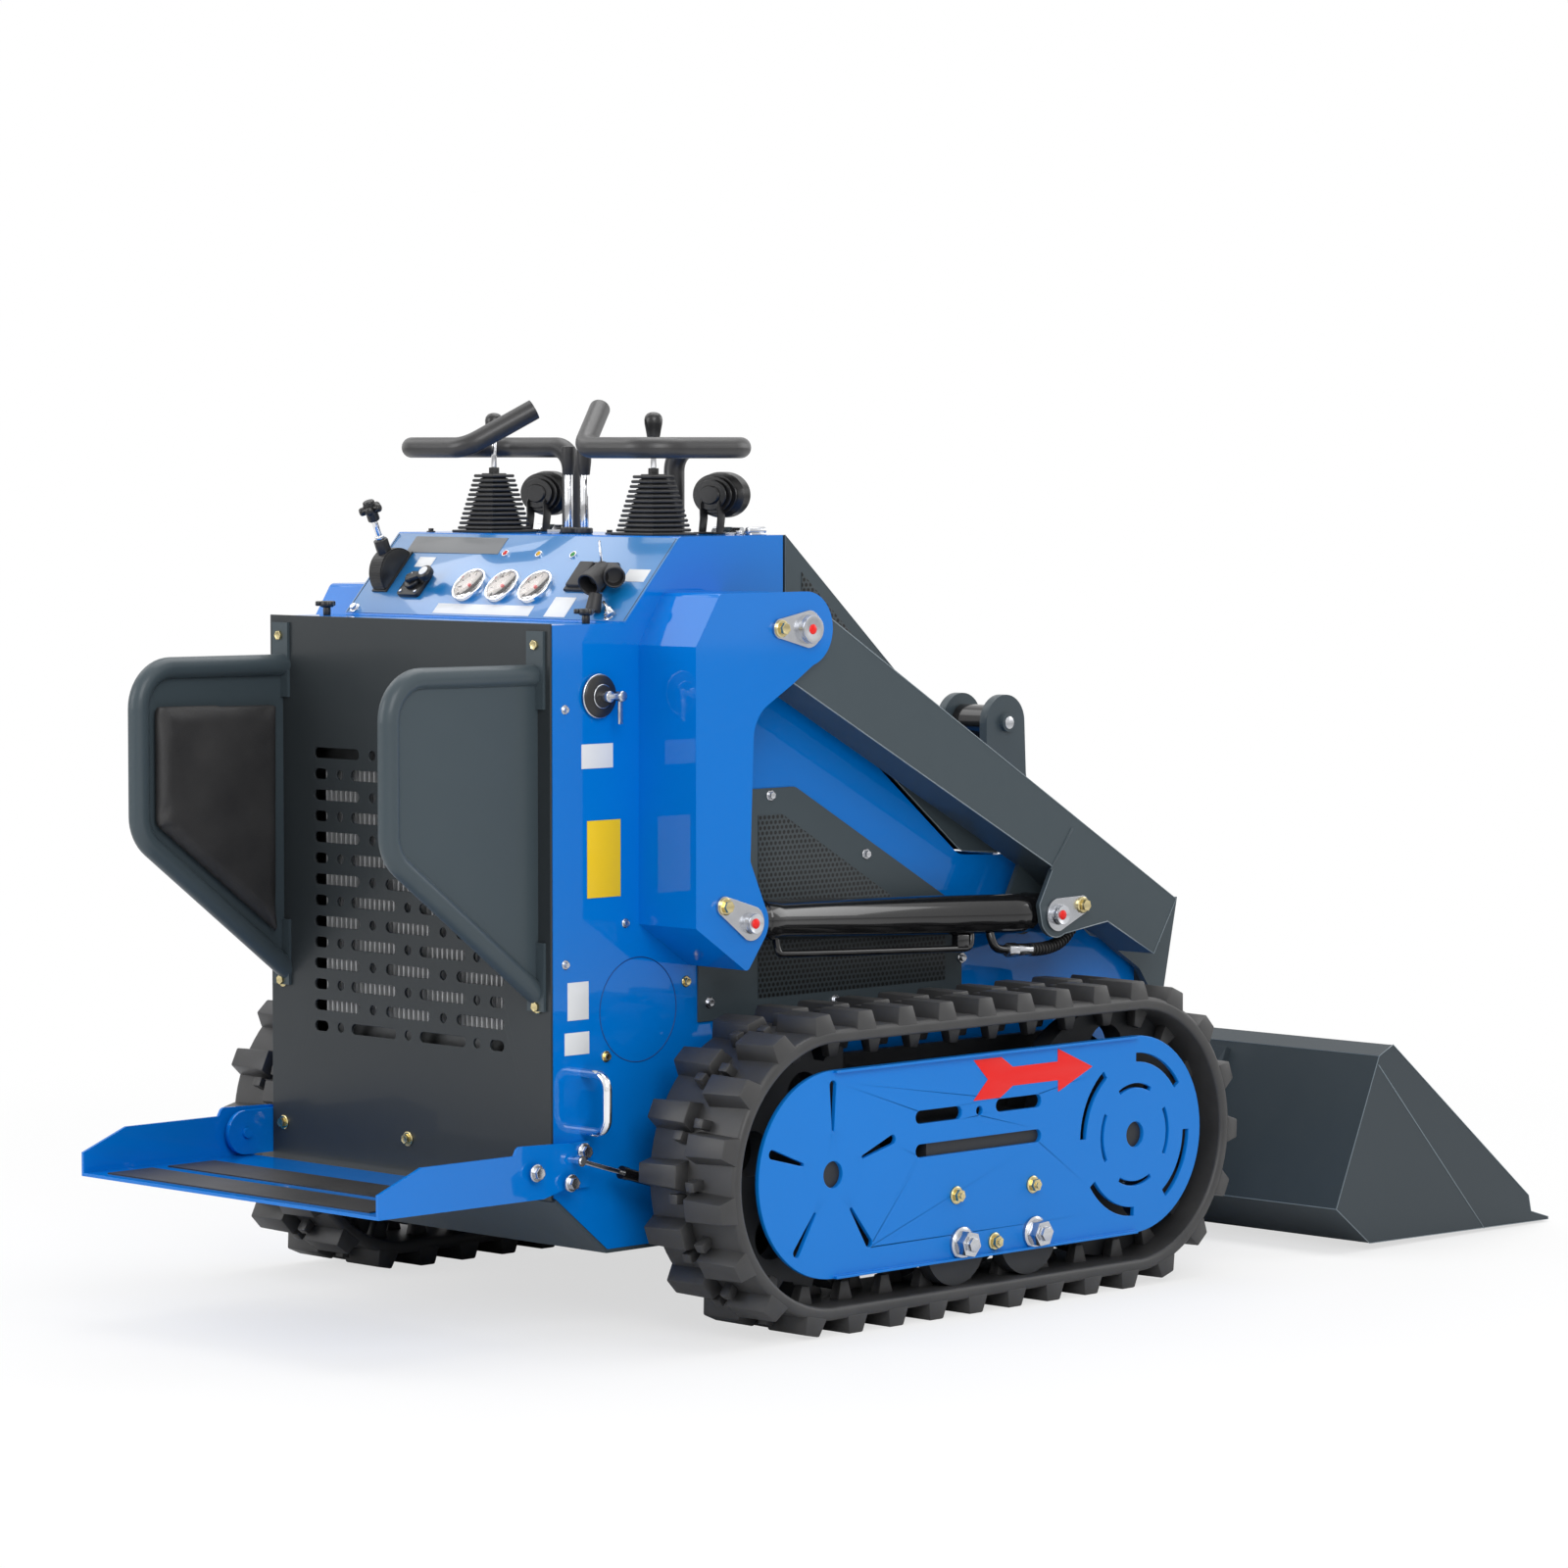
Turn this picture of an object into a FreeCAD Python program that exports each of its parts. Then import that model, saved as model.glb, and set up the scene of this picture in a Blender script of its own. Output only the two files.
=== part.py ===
import FreeCAD, Part
import math
import os
import re
from collections import namedtuple
from types import SimpleNamespace

from FreeCAD import Rotation, Vector

# A mini skid steer loader. +X points to the bucket, +Y to the driver's left and +Z up, in millimetres.
# The outlines count from a datum between the track wheels, and datum_x puts the origin below the
# middle of the overall box, on the ground.

SIZES = {
    "datum_x": -186,
    "fit_gap": 0.3,
    "pin_gap": 0.3,
    # Rubber tracks and their wheels
    "track_gap": 72,
    "track_width": 180,
    "sprocket_x": -327,
    "idler_x": 347,
    "band_radius": 216,
    "band_thick": 20,
    "lug_height": 24,
    "lug_count": 31,
    "lug_base": 50,
    "lug_top": 34,
    "lug_groove": 12,
    "guide_height": 26,
    "guide_base": 32,
    "guide_near": 22,
    "guide_far": 42,
    "wheel_half": 18,
    "hub_radius": 62,
    "tooth_depth": 30,
    "roller_rear_x": -51,
    "roller_front_x": 112,
    "roller_z": 110,
    "roller_near": 46,
    "roller_gap": 2,
    "axle_radius": 18,
    "guard_radius": 155,
    "guard_inset": 10,
    "guard_thick": 8,
    "guard_flange": 8,
    "frame_inset": 6,
    "frame_plate": 12,
    # Body
    "body_half": 318,
    "body_wall": 6,
    "rear_x": -669,
    "panel_thick": 4,
    "panel_top": 1056,
    "panel_bottom": 210,
    "panel_rim": 30,
    "radiator_gap": 8,
    "ledge_z": 1054,
    "ledge_front": -519,
    "console_front": -405,
    "deck_z": 1180,
    "deck_front": -190,
    "belly_z": 122,
    "belly_rear": -557,
    "belly_thick": 6,
    "nose_x": 618,
    "hood_step": 5,
    "hood_front": 300,
    "hood_slope": 0.883,
    "hood_wall": 4,
    "hinge_radius": 5,
    "hinge_height": 6,
    "screen_thick": 3,
    # Towers, arms and lift cylinders
    "tower_gap": 5,
    "tower_plate": 10,
    "tower_rear": -492,
    "tower_nose": 56,
    "arm_gap": 27,
    "arm_width": 80,
    "arm_pivot_x": -262,
    "arm_pivot_z": 1042,
    "arm_pin": 22,
    "lift_rod_x": -382,
    "lift_rod_z": 609,
    "lift_eye_x": 312,
    "lift_eye_z": 579,
    "lift_pin": 16,
    "lift_barrel": 28,
    "lift_rod": 15,
    "gusset_plate": 8,
    "pin_stand": 12,
    # Front of the boom, tilt cylinder and bucket
    "end_plate": 12,
    "ear_x": 592,
    "ear_z": 858,
    "ear_outer": 57,
    "ear_plate": 16,
    "ear_radius": 46,
    "leg_inner": 190,
    "leg_plate": 22,
    "bucket_pivot_x": 765,
    "bucket_pivot_z": 180,
    "bucket_pin": 16,
    "lug_plate": 16,
    "lug_gap": 5,
    "tilt_eye_x": 860,
    "tilt_eye_z": 312,
    "tilt_barrel": 25,
    "tilt_rod": 13,
    "bucket_half": 575,
    "bucket_sheet": 8,
    "bucket_side": 10,
    "coupler_plate": 12,
    "coupler_half": 262,
    # Operator's platform, hip pads and hand controls
    "platform_gap": 9,
    "platform_sheet": 5,
    "platform_rear": -1023,
    "platform_floor": 219,
    "platform_pivot_x": -722,
    "platform_pivot_z": 260,
    "bracket_plate": 8,
    "spring_gap": 15,
    "spring_tube": 9,
    "spring_rod": 4,
    "spring_ball_x": -646,
    "spring_ball_z": 271,
    "spring_base_x": -430,
    "spring_base_z": 207,
    "pad_inset": 33,
    "pad_tube": 16,
    "pad_sheet": 3,
    "cushion_thick": 24,
    "bar_radius": 16,
    "bar_rise": 132,
    "lever_rise": 120,
    "stick_rise": 148,
    "lamp_rise": 60,
    "lamp_radius": 35,
}
S = SimpleNamespace(**SIZES)

# Places across the machine follow the body's sides, and the bars follow the deck.
S.arm_inner = S.body_half + S.arm_gap
S.arm_outer = S.arm_inner + S.arm_width
S.tower_outer = S.arm_outer + S.tower_gap + S.tower_plate
S.track_middle = S.body_half + S.track_gap + S.track_width / 2
S.frame_inner = S.track_middle - S.track_width / 2 + S.frame_inset
S.guard_outer = S.track_middle + S.track_width / 2 - S.guard_inset
S.roller_far = S.guard_outer - S.guard_thick - S.roller_gap - S.track_middle
S.platform_half = S.body_half + S.bracket_plate + S.platform_gap + S.platform_sheet
S.spring_y = S.platform_half + S.spring_gap
S.pad_y = S.body_half - S.pad_inset
S.bar_height = S.deck_z + S.bar_rise

HUB_Z = S.band_radius + S.lug_height
BAND_INNER = S.band_radius - S.band_thick
WHEELBASE = S.idler_x - S.sprocket_x
HOOD_REAR = S.deck_front + S.hood_step
SIDES = {"right": -1, "left": 1}

doc = FreeCAD.newDocument("MiniSkidSteerLoader")
sheet = doc.addObject("Spreadsheet::Sheet", "Sizes")
for row, (name, value) in enumerate(vars(S).items(), start=1):
    sheet.set(f"A{row}", name)
    sheet.set(f"B{row}", str(value))
    sheet.setAlias(f"B{row}", name)
doc.recompute()

nodes = []

# Round is a stretch of a circle in an outline, from one angle to another in degrees.
Round = namedtuple("Round", "x y radius start end")


def bound(text):
    """Turn the names of sizes in a formula into the cells that hold them."""
    return re.sub(r"[a-z][a-z_]*", r"Sizes.\g<0>", text)


def span(side, near, far):
    """The low and high formulas of a piece between two distances from the middle, on one side."""
    if side > 0:
        return near, far
    return f"-({far})", f"-({near})"


def node(item, name):
    """Name a finished sub-part and place it on the shared origin."""
    item.Label = name
    item.setExpression("Placement.Base.x", bound("datum_x"))
    nodes.append(item)
    return item


def new_body(name):
    body = doc.addObject("PartDesign::Body", name)
    body.AllowCompound = True
    return body


def polar(x, y, radius, degrees):
    angle = math.radians(degrees)
    return Vector(x + radius * math.cos(angle), y + radius * math.sin(angle), 0)


def corner(before, here, after, radius):
    """The start, middle and end of the arc that rounds a corner."""
    back = (before - here).normalize()
    ahead = (after - here).normalize()
    half = back.getAngle(ahead) / 2
    setback = radius / math.tan(half)
    inward = (back + ahead).normalize() * (radius / math.sin(half) - radius)
    return here + back * setback, here + inward, here + ahead * setback


def outline(entries):
    """A closed outline of corners (x, y), rounded corners (x, y, radius) and Round stretches."""
    def entry_end(entry, angle):
        if isinstance(entry, Round):
            return polar(entry.x, entry.y, entry.radius, getattr(entry, angle))
        return Vector(entry[0], entry[1], 0)

    stretches = []
    for index, entry in enumerate(entries):
        if isinstance(entry, Round):
            middle = (entry.start + entry.end) / 2
            stretches.append([polar(*entry[:3], angle) for angle in (entry.start, middle, entry.end)])
        elif len(entry) == 3:
            before = entry_end(entries[index - 1], "end")
            after = entry_end(entries[(index + 1) % len(entries)], "start")
            stretches.append(corner(before, Vector(entry[0], entry[1], 0), after, entry[2]))
        else:
            stretches.append([Vector(entry[0], entry[1], 0)])
    shapes = []
    for index, stretch in enumerate(stretches):
        if len(stretch) == 3:
            shapes.append(Part.Arc(*stretch))
        following = stretches[(index + 1) % len(stretches)][0]
        if stretch[-1].distanceToPoint(following) > 1e-4:
            shapes.append(Part.LineSegment(stretch[-1], following))
    return shapes


def rectangle(left, bottom, right, top, radius=0):
    corners = [(left, bottom), (right, bottom), (right, top), (left, top)]
    if radius:
        corners = [(x, y, radius) for x, y in corners]
    return outline(corners)


def circle(x, y, radius):
    return [Part.Circle(Vector(x, y, 0), Vector(0, 0, 1), radius)]


def slot(x, y, end_x, end_y, radius, end_radius=None):
    """A slot with round ends, which may differ in size."""
    turn = math.degrees(math.atan2(end_y - y, end_x - x))
    return outline([Round(x, y, radius, turn + 90, turn + 270),
                    Round(end_x, end_y, end_radius or radius, turn - 90, turn + 90)])


def ring_slot(x, y, radius, width, middle, half_sweep):
    """A slot bent along a circle."""
    low, high = middle - half_sweep, middle + half_sweep
    outer, inner = radius + width / 2, radius - width / 2
    return outline([Round(x, y, outer, low, high), Round(x, y, inner, high, low)])


def shifted(points, distance):
    """The open line of points moved sideways, to the left of its direction."""
    vectors = [Vector(x, y, 0) for x, y in points]
    normals = []
    for first, second in zip(vectors, vectors[1:]):
        along = (second - first).normalize()
        normals.append(Vector(-along.y, along.x, 0))
    moved = []
    for index, here in enumerate(vectors):
        before = normals[max(index - 1, 0)]
        after = normals[min(index, len(normals) - 1)]
        mitre = (before + after).normalize()
        place = here + mitre * (distance / mitre.dot(after))
        moved.append((place.x, place.y))
    return moved


def folded_sheet(points, thickness):
    """The section of a folded sheet: a line of points and its copy one thickness to the left."""
    return outline(points + shifted(points, thickness)[::-1])


def prism(body, plane, shapes, low, high, removes=False):
    """Pad or pocket a sketch between two formulas, measured across its plane."""
    origin_plane = next(item for item in body.Origin.OriginFeatures if item.Role == f"{plane}_Plane")
    sketch = body.newObject("Sketcher::SketchObject", f"{body.Name}_outline")
    sketch.AttachmentSupport = [(origin_plane, "")]
    sketch.MapMode = "FlatFace"
    sketch.addGeometry(shapes, False)
    start = f"-({high})" if plane == "XZ" else low
    sketch.setExpression("AttachmentOffset.Base.z", bound(start))
    kind = "Pocket" if removes else "Pad"
    feature = body.newObject(f"PartDesign::{kind}", f"{body.Name}_{kind.lower()}")
    feature.Profile = sketch
    feature.setExpression("Length", bound(f"({high}) - ({low})"))
    feature.Reversed = removes
    return feature


def turned(body, shapes, place, rotation=None):
    """Revolve a half section, drawn in the body's XZ plane, once round the body's Z axis."""
    origin_plane = next(item for item in body.Origin.OriginFeatures if item.Role == "XZ_Plane")
    sketch = body.newObject("Sketcher::SketchObject", f"{body.Name}_section")
    sketch.AttachmentSupport = [(origin_plane, "")]
    sketch.MapMode = "FlatFace"
    sketch.addGeometry(shapes, False)
    feature = body.newObject("PartDesign::Revolution", f"{body.Name}_turning")
    feature.Profile = sketch
    feature.ReferenceAxis = (sketch, ["V_Axis"])
    feature.Angle = 360
    body.Placement = FreeCAD.Placement(place, rotation or Rotation())
    return feature


def cylinder(name, radius, start, end):
    """A round bar from one point to another."""
    bar = doc.addObject("Part::Cylinder", name)
    bar.Radius = radius
    along = end - start
    bar.Height = along.Length
    bar.Placement = FreeCAD.Placement(start, Rotation(Vector(0, 0, 1), along))
    return bar


def fused(name, items):
    union = doc.addObject("Part::MultiFuse", name)
    union.Shapes = items
    return union


def gathered(name, items):
    """Several solids that don't touch, kept in one sub-part."""
    group = doc.addObject("Part::Compound", name)
    group.Links = items
    return group


def bent_tube(name, points, radius, rounded):
    """A round tube along straight runs that are joined by arcs."""
    runs = []
    last = points[0]
    for before, here, after, bend in zip(points, points[1:], points[2:], rounded):
        start, middle, end = corner(before, here, after, bend)
        runs.append(Part.LineSegment(last, start).toShape())
        runs.append(Part.Arc(start, middle, end).toShape())
        last = end
    runs.append(Part.LineSegment(last, points[-1]).toShape())
    path = Part.Wire(runs)
    section = Part.Wire(Part.Circle(points[0], points[1] - points[0], radius).toShape())
    tube = doc.addObject("Part::Feature", name)
    tube.Shape = path.makePipeShell([section], True, True)
    return tube


# Tracks

def loop_point(distance, height):
    """A point on the track's loop: distance runs round it, height is its radius over the wheels."""
    radius = S.band_radius
    arc = math.pi * radius
    distance = distance % (2 * WHEELBASE + 2 * arc)
    if distance < WHEELBASE:
        return Vector(S.idler_x - distance, HUB_Z + height, 0)
    distance -= WHEELBASE
    if distance < arc:
        return polar(S.sprocket_x, HUB_Z, height, 90 + math.degrees(distance / radius))
    distance -= arc
    if distance < WHEELBASE:
        return Vector(S.sprocket_x + distance, HUB_Z - height, 0)
    return polar(S.idler_x, HUB_Z, height, 270 + math.degrees((distance - WHEELBASE) / radius))


def loop_blocks(base_height, tip_height, base, tip, phase):
    """Closed outlines of the blocks that stand on the loop, one for each pitch. No tip makes a wedge."""
    pitch = (2 * WHEELBASE + 2 * math.pi * S.band_radius) / S.lug_count
    shapes = []
    for number in range(int(S.lug_count)):
        middle = (number + phase) * pitch
        tips = [middle - tip / 2, middle + tip / 2] if tip else [middle]
        corners = [loop_point(middle - base / 2, base_height), *[loop_point(place, tip_height) for place in tips],
                   loop_point(middle + base / 2, base_height)]
        shapes += [Part.LineSegment(*pair) for pair in zip(corners, corners[1:] + corners[:1])]
    return shapes


def stadium(radius):
    return outline([Round(S.sprocket_x, HUB_Z, radius, 90, 270), Round(S.idler_x, HUB_Z, radius, -90, 90)])


def make_track(name, side):
    """One closed rubber loop, with lugs outside in two staggered rows and guide blocks inside."""
    body = new_body(name)
    root = S.band_thick / 4
    lugs = (S.band_radius - root, S.band_radius + S.lug_height, S.lug_base, S.lug_top)
    guides = (BAND_INNER + root, BAND_INNER - S.guide_height, S.guide_base, 0)
    prism(body, "XZ", stadium(S.band_radius) + stadium(BAND_INNER),
          *span(side, "track_middle - track_width / 2", "track_middle + track_width / 2"))
    rows = [  # near edge, far edge, block sizes, phase
        ("track_middle - track_width / 2 + 2", "track_middle - lug_groove / 2", lugs, 0),
        ("track_middle + lug_groove / 2", "track_middle + track_width / 2", lugs, 0.5),
        ("track_middle - guide_far", "track_middle - guide_near", guides, 0.25),
        ("track_middle + guide_near", "track_middle + guide_far", guides, 0.25),
    ]
    for near, far, sizes, phase in rows:
        prism(body, "XZ", loop_blocks(*sizes, phase), *span(side, near, far))
    node(body, name)


def make_wheels():
    """Toothed rear sprockets, plain front idlers and the rollers on the lower run."""
    rim = BAND_INNER - S.fit_gap
    sprockets = new_body("sprockets")
    idlers = new_body("idlers")
    rollers = new_body("track_rollers")
    length = 2 * WHEELBASE + 2 * math.pi * S.band_radius
    teeth = round(2 * math.pi * S.band_radius / (length / S.lug_count))
    step = 360 / teeth
    tooth_outline = []
    for number in range(teeth):
        middle = number * step
        tooth_outline += [Round(S.sprocket_x, HUB_Z, rim, middle - step * 0.14, middle + step * 0.14),
                          Round(S.sprocket_x, HUB_Z, rim - S.tooth_depth,
                                middle + step * 0.34, middle + step * 0.66)]
    for side in SIDES.values():
        middle_span = span(side, "track_middle - wheel_half", "track_middle + wheel_half")
        hub_span = span(side, "frame_inner + frame_plate", "guard_outer - guard_thick")
        windows = []
        for number in range(5):
            hole = polar(S.sprocket_x, HUB_Z, (S.hub_radius + rim - S.tooth_depth) / 2, 90 + 72 * number)
            windows += circle(hole.x, hole.y, (rim - S.tooth_depth - S.hub_radius) * 0.33)
        prism(sprockets, "XZ", outline(tooth_outline) + windows, *middle_span)
        prism(sprockets, "XZ", circle(S.sprocket_x, HUB_Z, S.hub_radius), *hub_span)
        windows = []
        for number in range(5):
            hole = polar(S.idler_x, HUB_Z, (S.hub_radius + rim) / 2, 90 + 72 * number)
            windows += circle(hole.x, hole.y, (rim - S.hub_radius) * 0.3)
        prism(idlers, "XZ", circle(S.idler_x, HUB_Z, rim) + windows, *middle_span)
        prism(idlers, "XZ", circle(S.idler_x, HUB_Z, S.hub_radius), *hub_span)
        roller_radius = S.roller_z - (HUB_Z - BAND_INNER) - S.fit_gap
        for x in (S.roller_rear_x, S.roller_front_x):
            flanges = [("track_middle - roller_far", "track_middle - roller_near"),
                       ("track_middle + roller_near", "track_middle + roller_far")]
            for near, far in flanges:
                prism(rollers, "XZ", circle(x, S.roller_z, roller_radius), *span(side, near, far))
            prism(rollers, "XZ", circle(x, S.roller_z, S.axle_radius), *hub_span)
    node(sprockets, "sprockets")
    node(idlers, "idlers")
    node(rollers, "track_rollers")


def make_track_frames():
    """Inner plates, a box between the wheels and two tubes and a drive housing from the body."""
    frames = new_body("track_frames")
    box_left = S.sprocket_x + BAND_INNER + 12
    box_right = S.idler_x - BAND_INNER - 12
    for side in SIDES.values():
        plate = outline([Round(S.sprocket_x, HUB_Z, S.guard_radius, 90, 270),
                         Round(S.idler_x, HUB_Z, S.guard_radius, -90, 90)])
        prism(frames, "XZ", plate, *span(side, "frame_inner", "frame_inner + frame_plate"))
        prism(frames, "XZ", rectangle(box_left, HUB_Z - 45, box_right, HUB_Z + 55, 8),
              *span(side, "frame_inner + frame_plate", "guard_outer - guard_thick"))
        for x in (S.sprocket_x + 130, S.idler_x - 130):
            prism(frames, "XZ", rectangle(x - 40, HUB_Z - 40, x + 40, HUB_Z + 40, 8),
                  *span(side, "body_half", "frame_inner"))
        prism(frames, "XZ", circle(S.sprocket_x, HUB_Z, S.hub_radius + 18),
              *span(side, "body_half", "frame_inner"))
    node(frames, "track_frames")


def make_track_guards():
    """Outer guard plates with folded edges, cooling slots and the axle holes."""
    guards = new_body("track_guards")
    cuts = circle(S.sprocket_x, HUB_Z, 20) + circle(S.idler_x, HUB_Z, 20)
    for angle in (90, 18, 162, 235, 305):
        near = polar(S.sprocket_x, HUB_Z, 67, angle)
        far = polar(S.sprocket_x, HUB_Z, 133, angle)
        cuts += slot(near.x, near.y, far.x, far.y, 2.5, 7)
    arcs = [  # radius, width, middle angle, half sweep
        (77, 7, 0, 28), (77, 7, 90, 28), (77, 7, 180, 28), (77, 7, 270, 28),
        (121, 14, 62, 27), (121, 14, 152, 27), (121, 14, 242, 27), (121, 14, 332, 27),
    ]
    for radius, width, middle, half_sweep in arcs:
        cuts += ring_slot(S.idler_x, HUB_Z, radius, width, middle, half_sweep)
    for left, right, z in ((-150, -49, 309), (27, 129, 312), (-150, 129, 258)):
        cuts += slot(left + 10, z, right - 10, z, 10)
    cuts += circle(-10, 308, 7)
    for side in SIDES.values():
        plate_span = span(side, "guard_outer - guard_thick", "guard_outer")
        prism(guards, "XZ", stadium(S.guard_radius) + cuts, *plate_span)
        for low in (HUB_Z - S.guard_radius, HUB_Z + S.guard_radius - 4):
            flange = rectangle(S.sprocket_x, low, S.idler_x, low + 4)
            prism(guards, "XZ", flange, *span(side, "guard_outer", "guard_outer + guard_flange"))
    node(guards, "track_guards")


# Body

def make_body_shell():
    """Welded body: two sides, the ledge, console and deck on top, and the front plate."""
    wall = S.body_wall
    front = S.rear_x + S.panel_thick
    sill = S.belly_z + S.belly_thick
    outer = [(front, 216.1), (front, S.ledge_z), (S.ledge_front, S.ledge_z), (S.console_front, S.deck_z, 8),
             (S.deck_front, S.deck_z), (S.deck_front, 985), (200, 674, 30), (330, 667, 30), (510, 526, 20),
             (S.nose_x, 505, 12), (S.nose_x, 200), (545, sill), (S.belly_rear, sill)]
    body = new_body("body_shell")
    prism(body, "XZ", outline(outer), "-body_half", "body_half")
    roof = S.deck_z + 60
    roofline = [(front, 150), (front, S.ledge_z), (S.ledge_front, S.ledge_z), (S.console_front, S.deck_z),
                (S.deck_front, S.deck_z), (S.deck_front, 985)]
    inner = [*shifted(roofline, -wall), (S.deck_front, 985 - wall), (S.deck_front, roof),
             (S.hood_front + wall, roof), (S.hood_front + wall, 667 - wall), (328, 667 - wall),
             (508, 526 - wall), (S.nose_x - wall, 505 - wall), (S.nose_x - wall, 202), (542, sill),
             (542, 90), (S.belly_rear, 90)]
    prism(body, "XZ", outline(inner), "-(body_half - body_wall)", "body_half - body_wall", removes=True)
    half = S.body_half - S.panel_rim
    opening = rectangle(-half, S.panel_bottom + S.panel_rim, half, S.ledge_z - S.panel_rim)
    prism(body, "YZ", opening, "rear_x", "rear_x + panel_thick + body_wall + fit_gap", removes=True)
    node(body, "body_shell")

    belly = new_body("belly_plate")
    line = [(front + 5, 212), (S.belly_rear, sill), (545, sill)]
    prism(belly, "XZ", folded_sheet(line, -S.belly_thick), "-body_half", "body_half")
    node(belly, "belly_plate")


def make_rear_panel():
    """Bolted rear cover with fourteen rows of slots and holes, of two kinds by turns."""
    first_row = 848
    row_step = 32.15
    half_slot = 8
    hole = 7.5
    patterns = [  # slot ends across the panel, hole places across the panel
        ([(-215, -110), (-50, 50), (110, 215)], [-80, 80]),
        ([(-215, -184), (-130, -27), (27, 130), (184, 215)], [-155, 0, 155]),
    ]
    cuts = []
    for row_number in range(14):
        z = first_row - row_number * row_step
        slots, holes = patterns[row_number % 2]
        for left, right in slots:
            cuts += slot(left + half_slot, z, right - half_slot, z, half_slot)
        for y in holes:
            cuts += circle(y, z, hole)
    panel = new_body("rear_panel")
    edge = S.body_half - 1
    prism(panel, "YZ", rectangle(-edge, S.panel_bottom, edge, S.panel_top) + cuts,
          "rear_x", "rear_x + panel_thick")
    node(panel, "rear_panel")


def make_radiator():
    """Radiator behind the rear panel, carried by its rim."""
    radiator = new_body("radiator")
    half = S.body_half - S.panel_rim - S.radiator_gap
    rim = rectangle(-half, 385, half, 895) + rectangle(-half + 40, 410, half - 40, 870)
    core = rectangle(-half + 18, 398, half - 18, 882)
    prism(radiator, "YZ", rim, "rear_x + panel_thick", "rear_x + panel_thick + 20")
    prism(radiator, "YZ", core, "rear_x + panel_thick + 20", "rear_x + panel_thick + 68")
    node(radiator, "radiator")


def make_engine():
    """The engine as one plain block on its feet."""
    engine = new_body("engine_block")
    floor = "belly_z + belly_thick"
    prism(engine, "XY", rectangle(-250, -200, 180, 200, 20), f"{floor} + 90", f"{floor} + 470")
    feet = []
    for x in (-220, 110):
        for y in (-170, 130):
            feet += rectangle(x, y, x + 40, y + 40)
    prism(engine, "XY", feet, floor, f"{floor} + 90")
    node(engine, "engine_block")


def make_hood():
    """Sloping engine cover, open below and behind, with the moving halves of its hinges."""
    wall = S.hood_wall
    step = S.hood_step
    top_front = S.deck_z - S.hood_slope * (S.hood_front - HOOD_REAR)
    hood = new_body("hood")
    outer = [(HOOD_REAR, S.deck_z), (S.hood_front, top_front, 14), (S.hood_front, 667 + step),
             (204, 674 + step + 1, 30), (HOOD_REAR, 985 + step)]
    prism(hood, "XZ", outline(outer), "-body_half", "body_half")
    inner = [(HOOD_REAR - 20, S.deck_z + 20 * S.hood_slope - wall * 1.334),
             (S.hood_front - wall, top_front - wall * 0.45, 10),
             (S.hood_front - wall, 600), (HOOD_REAR - 20, 600)]
    prism(hood, "XZ", outline(inner), "-(body_half - hood_wall)", "body_half - hood_wall", removes=True)
    pin_x = S.deck_front
    pin_z = S.deck_z + S.hinge_height
    leaf = [Round(pin_x, pin_z, S.hinge_radius, 60, 268), (HOOD_REAR, S.deck_z - 3),
            (HOOD_REAR + 30, S.deck_z - 3 - 30 * S.hood_slope),
            (HOOD_REAR + 33, S.deck_z + 1 - 30 * S.hood_slope)]
    for low, high in (("190 + fit_gap / 2", "210 - fit_gap / 2"), ("-210 + fit_gap / 2", "-190 - fit_gap / 2")):
        prism(hood, "XZ", outline(leaf), low, high)
    node(hood, "hood")

    hinges = new_body("hood_hinges")
    fixed_leaf = [(pin_x - 36, S.deck_z), (pin_x - 1, S.deck_z), Round(pin_x, pin_z, S.hinge_radius, -60, 150),
                  (pin_x - 8, S.deck_z + 3), (pin_x - 36, S.deck_z + 3)]
    for low, high in (("170", "190 - fit_gap / 2"), ("210 + fit_gap / 2", "230"),
                      ("-190 + fit_gap / 2", "-170"), ("-230", "-210 - fit_gap / 2")):
        prism(hinges, "XZ", outline(fixed_leaf), low, high)
    node(hinges, "hood_hinges")


def make_side_screens():
    """Perforated side covers, here plain sheets with the real outline."""
    screens = new_body("side_screens")
    edge = [(-372, 797), (-372, 452), (205, 452), (205, 596, 12), (165, 612, 12), (-166, 797, 20)]
    for side in SIDES.values():
        prism(screens, "XZ", outline(edge), *span(side, "body_half", "body_half + screen_thick"))
    node(screens, "side_screens")


# Towers and boom

def make_towers():
    """Boxed towers, open to the front, that carry the arms and the lift cylinders."""
    plate = S.tower_plate
    towers = new_body("towers")
    px, pz = S.arm_pivot_x, S.arm_pivot_z
    tx, tz = S.lift_rod_x, S.lift_rod_z
    face = [(S.tower_rear, 607), (S.tower_rear, 1021), (-442, pz + S.tower_nose, 12),
            Round(px, pz, S.tower_nose, 90, -75), (-292, 960, 40), (-372, 915, 60), (-380, 700),
            Round(tx, tz, 40, 35, -35), (-386, 536, 8)]
    cavity = [(S.tower_rear + plate, 612), (S.tower_rear + plate, 1018), (-436, pz + S.tower_nose - plate),
              (-320, pz + S.tower_nose - plate), (-320, 1200), (-150, 1200), (-150, 480), (-388, 480),
              (-388, 549)]
    for side in SIDES.values():
        prism(towers, "XZ", outline(face), *span(side, "body_half", "tower_outer"))
        prism(towers, "XZ", outline(cavity), *span(side, "body_half", "tower_outer - tower_plate"),
              removes=True)
        prism(towers, "XZ", circle(px, pz, S.arm_pin + S.pin_gap),
              *span(side, "tower_outer - tower_plate", "tower_outer"), removes=True)
        prism(towers, "XZ", circle(tx, tz, S.lift_pin + S.pin_gap),
              *span(side, "tower_outer - tower_plate", "tower_outer"), removes=True)
    node(towers, "towers")


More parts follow.
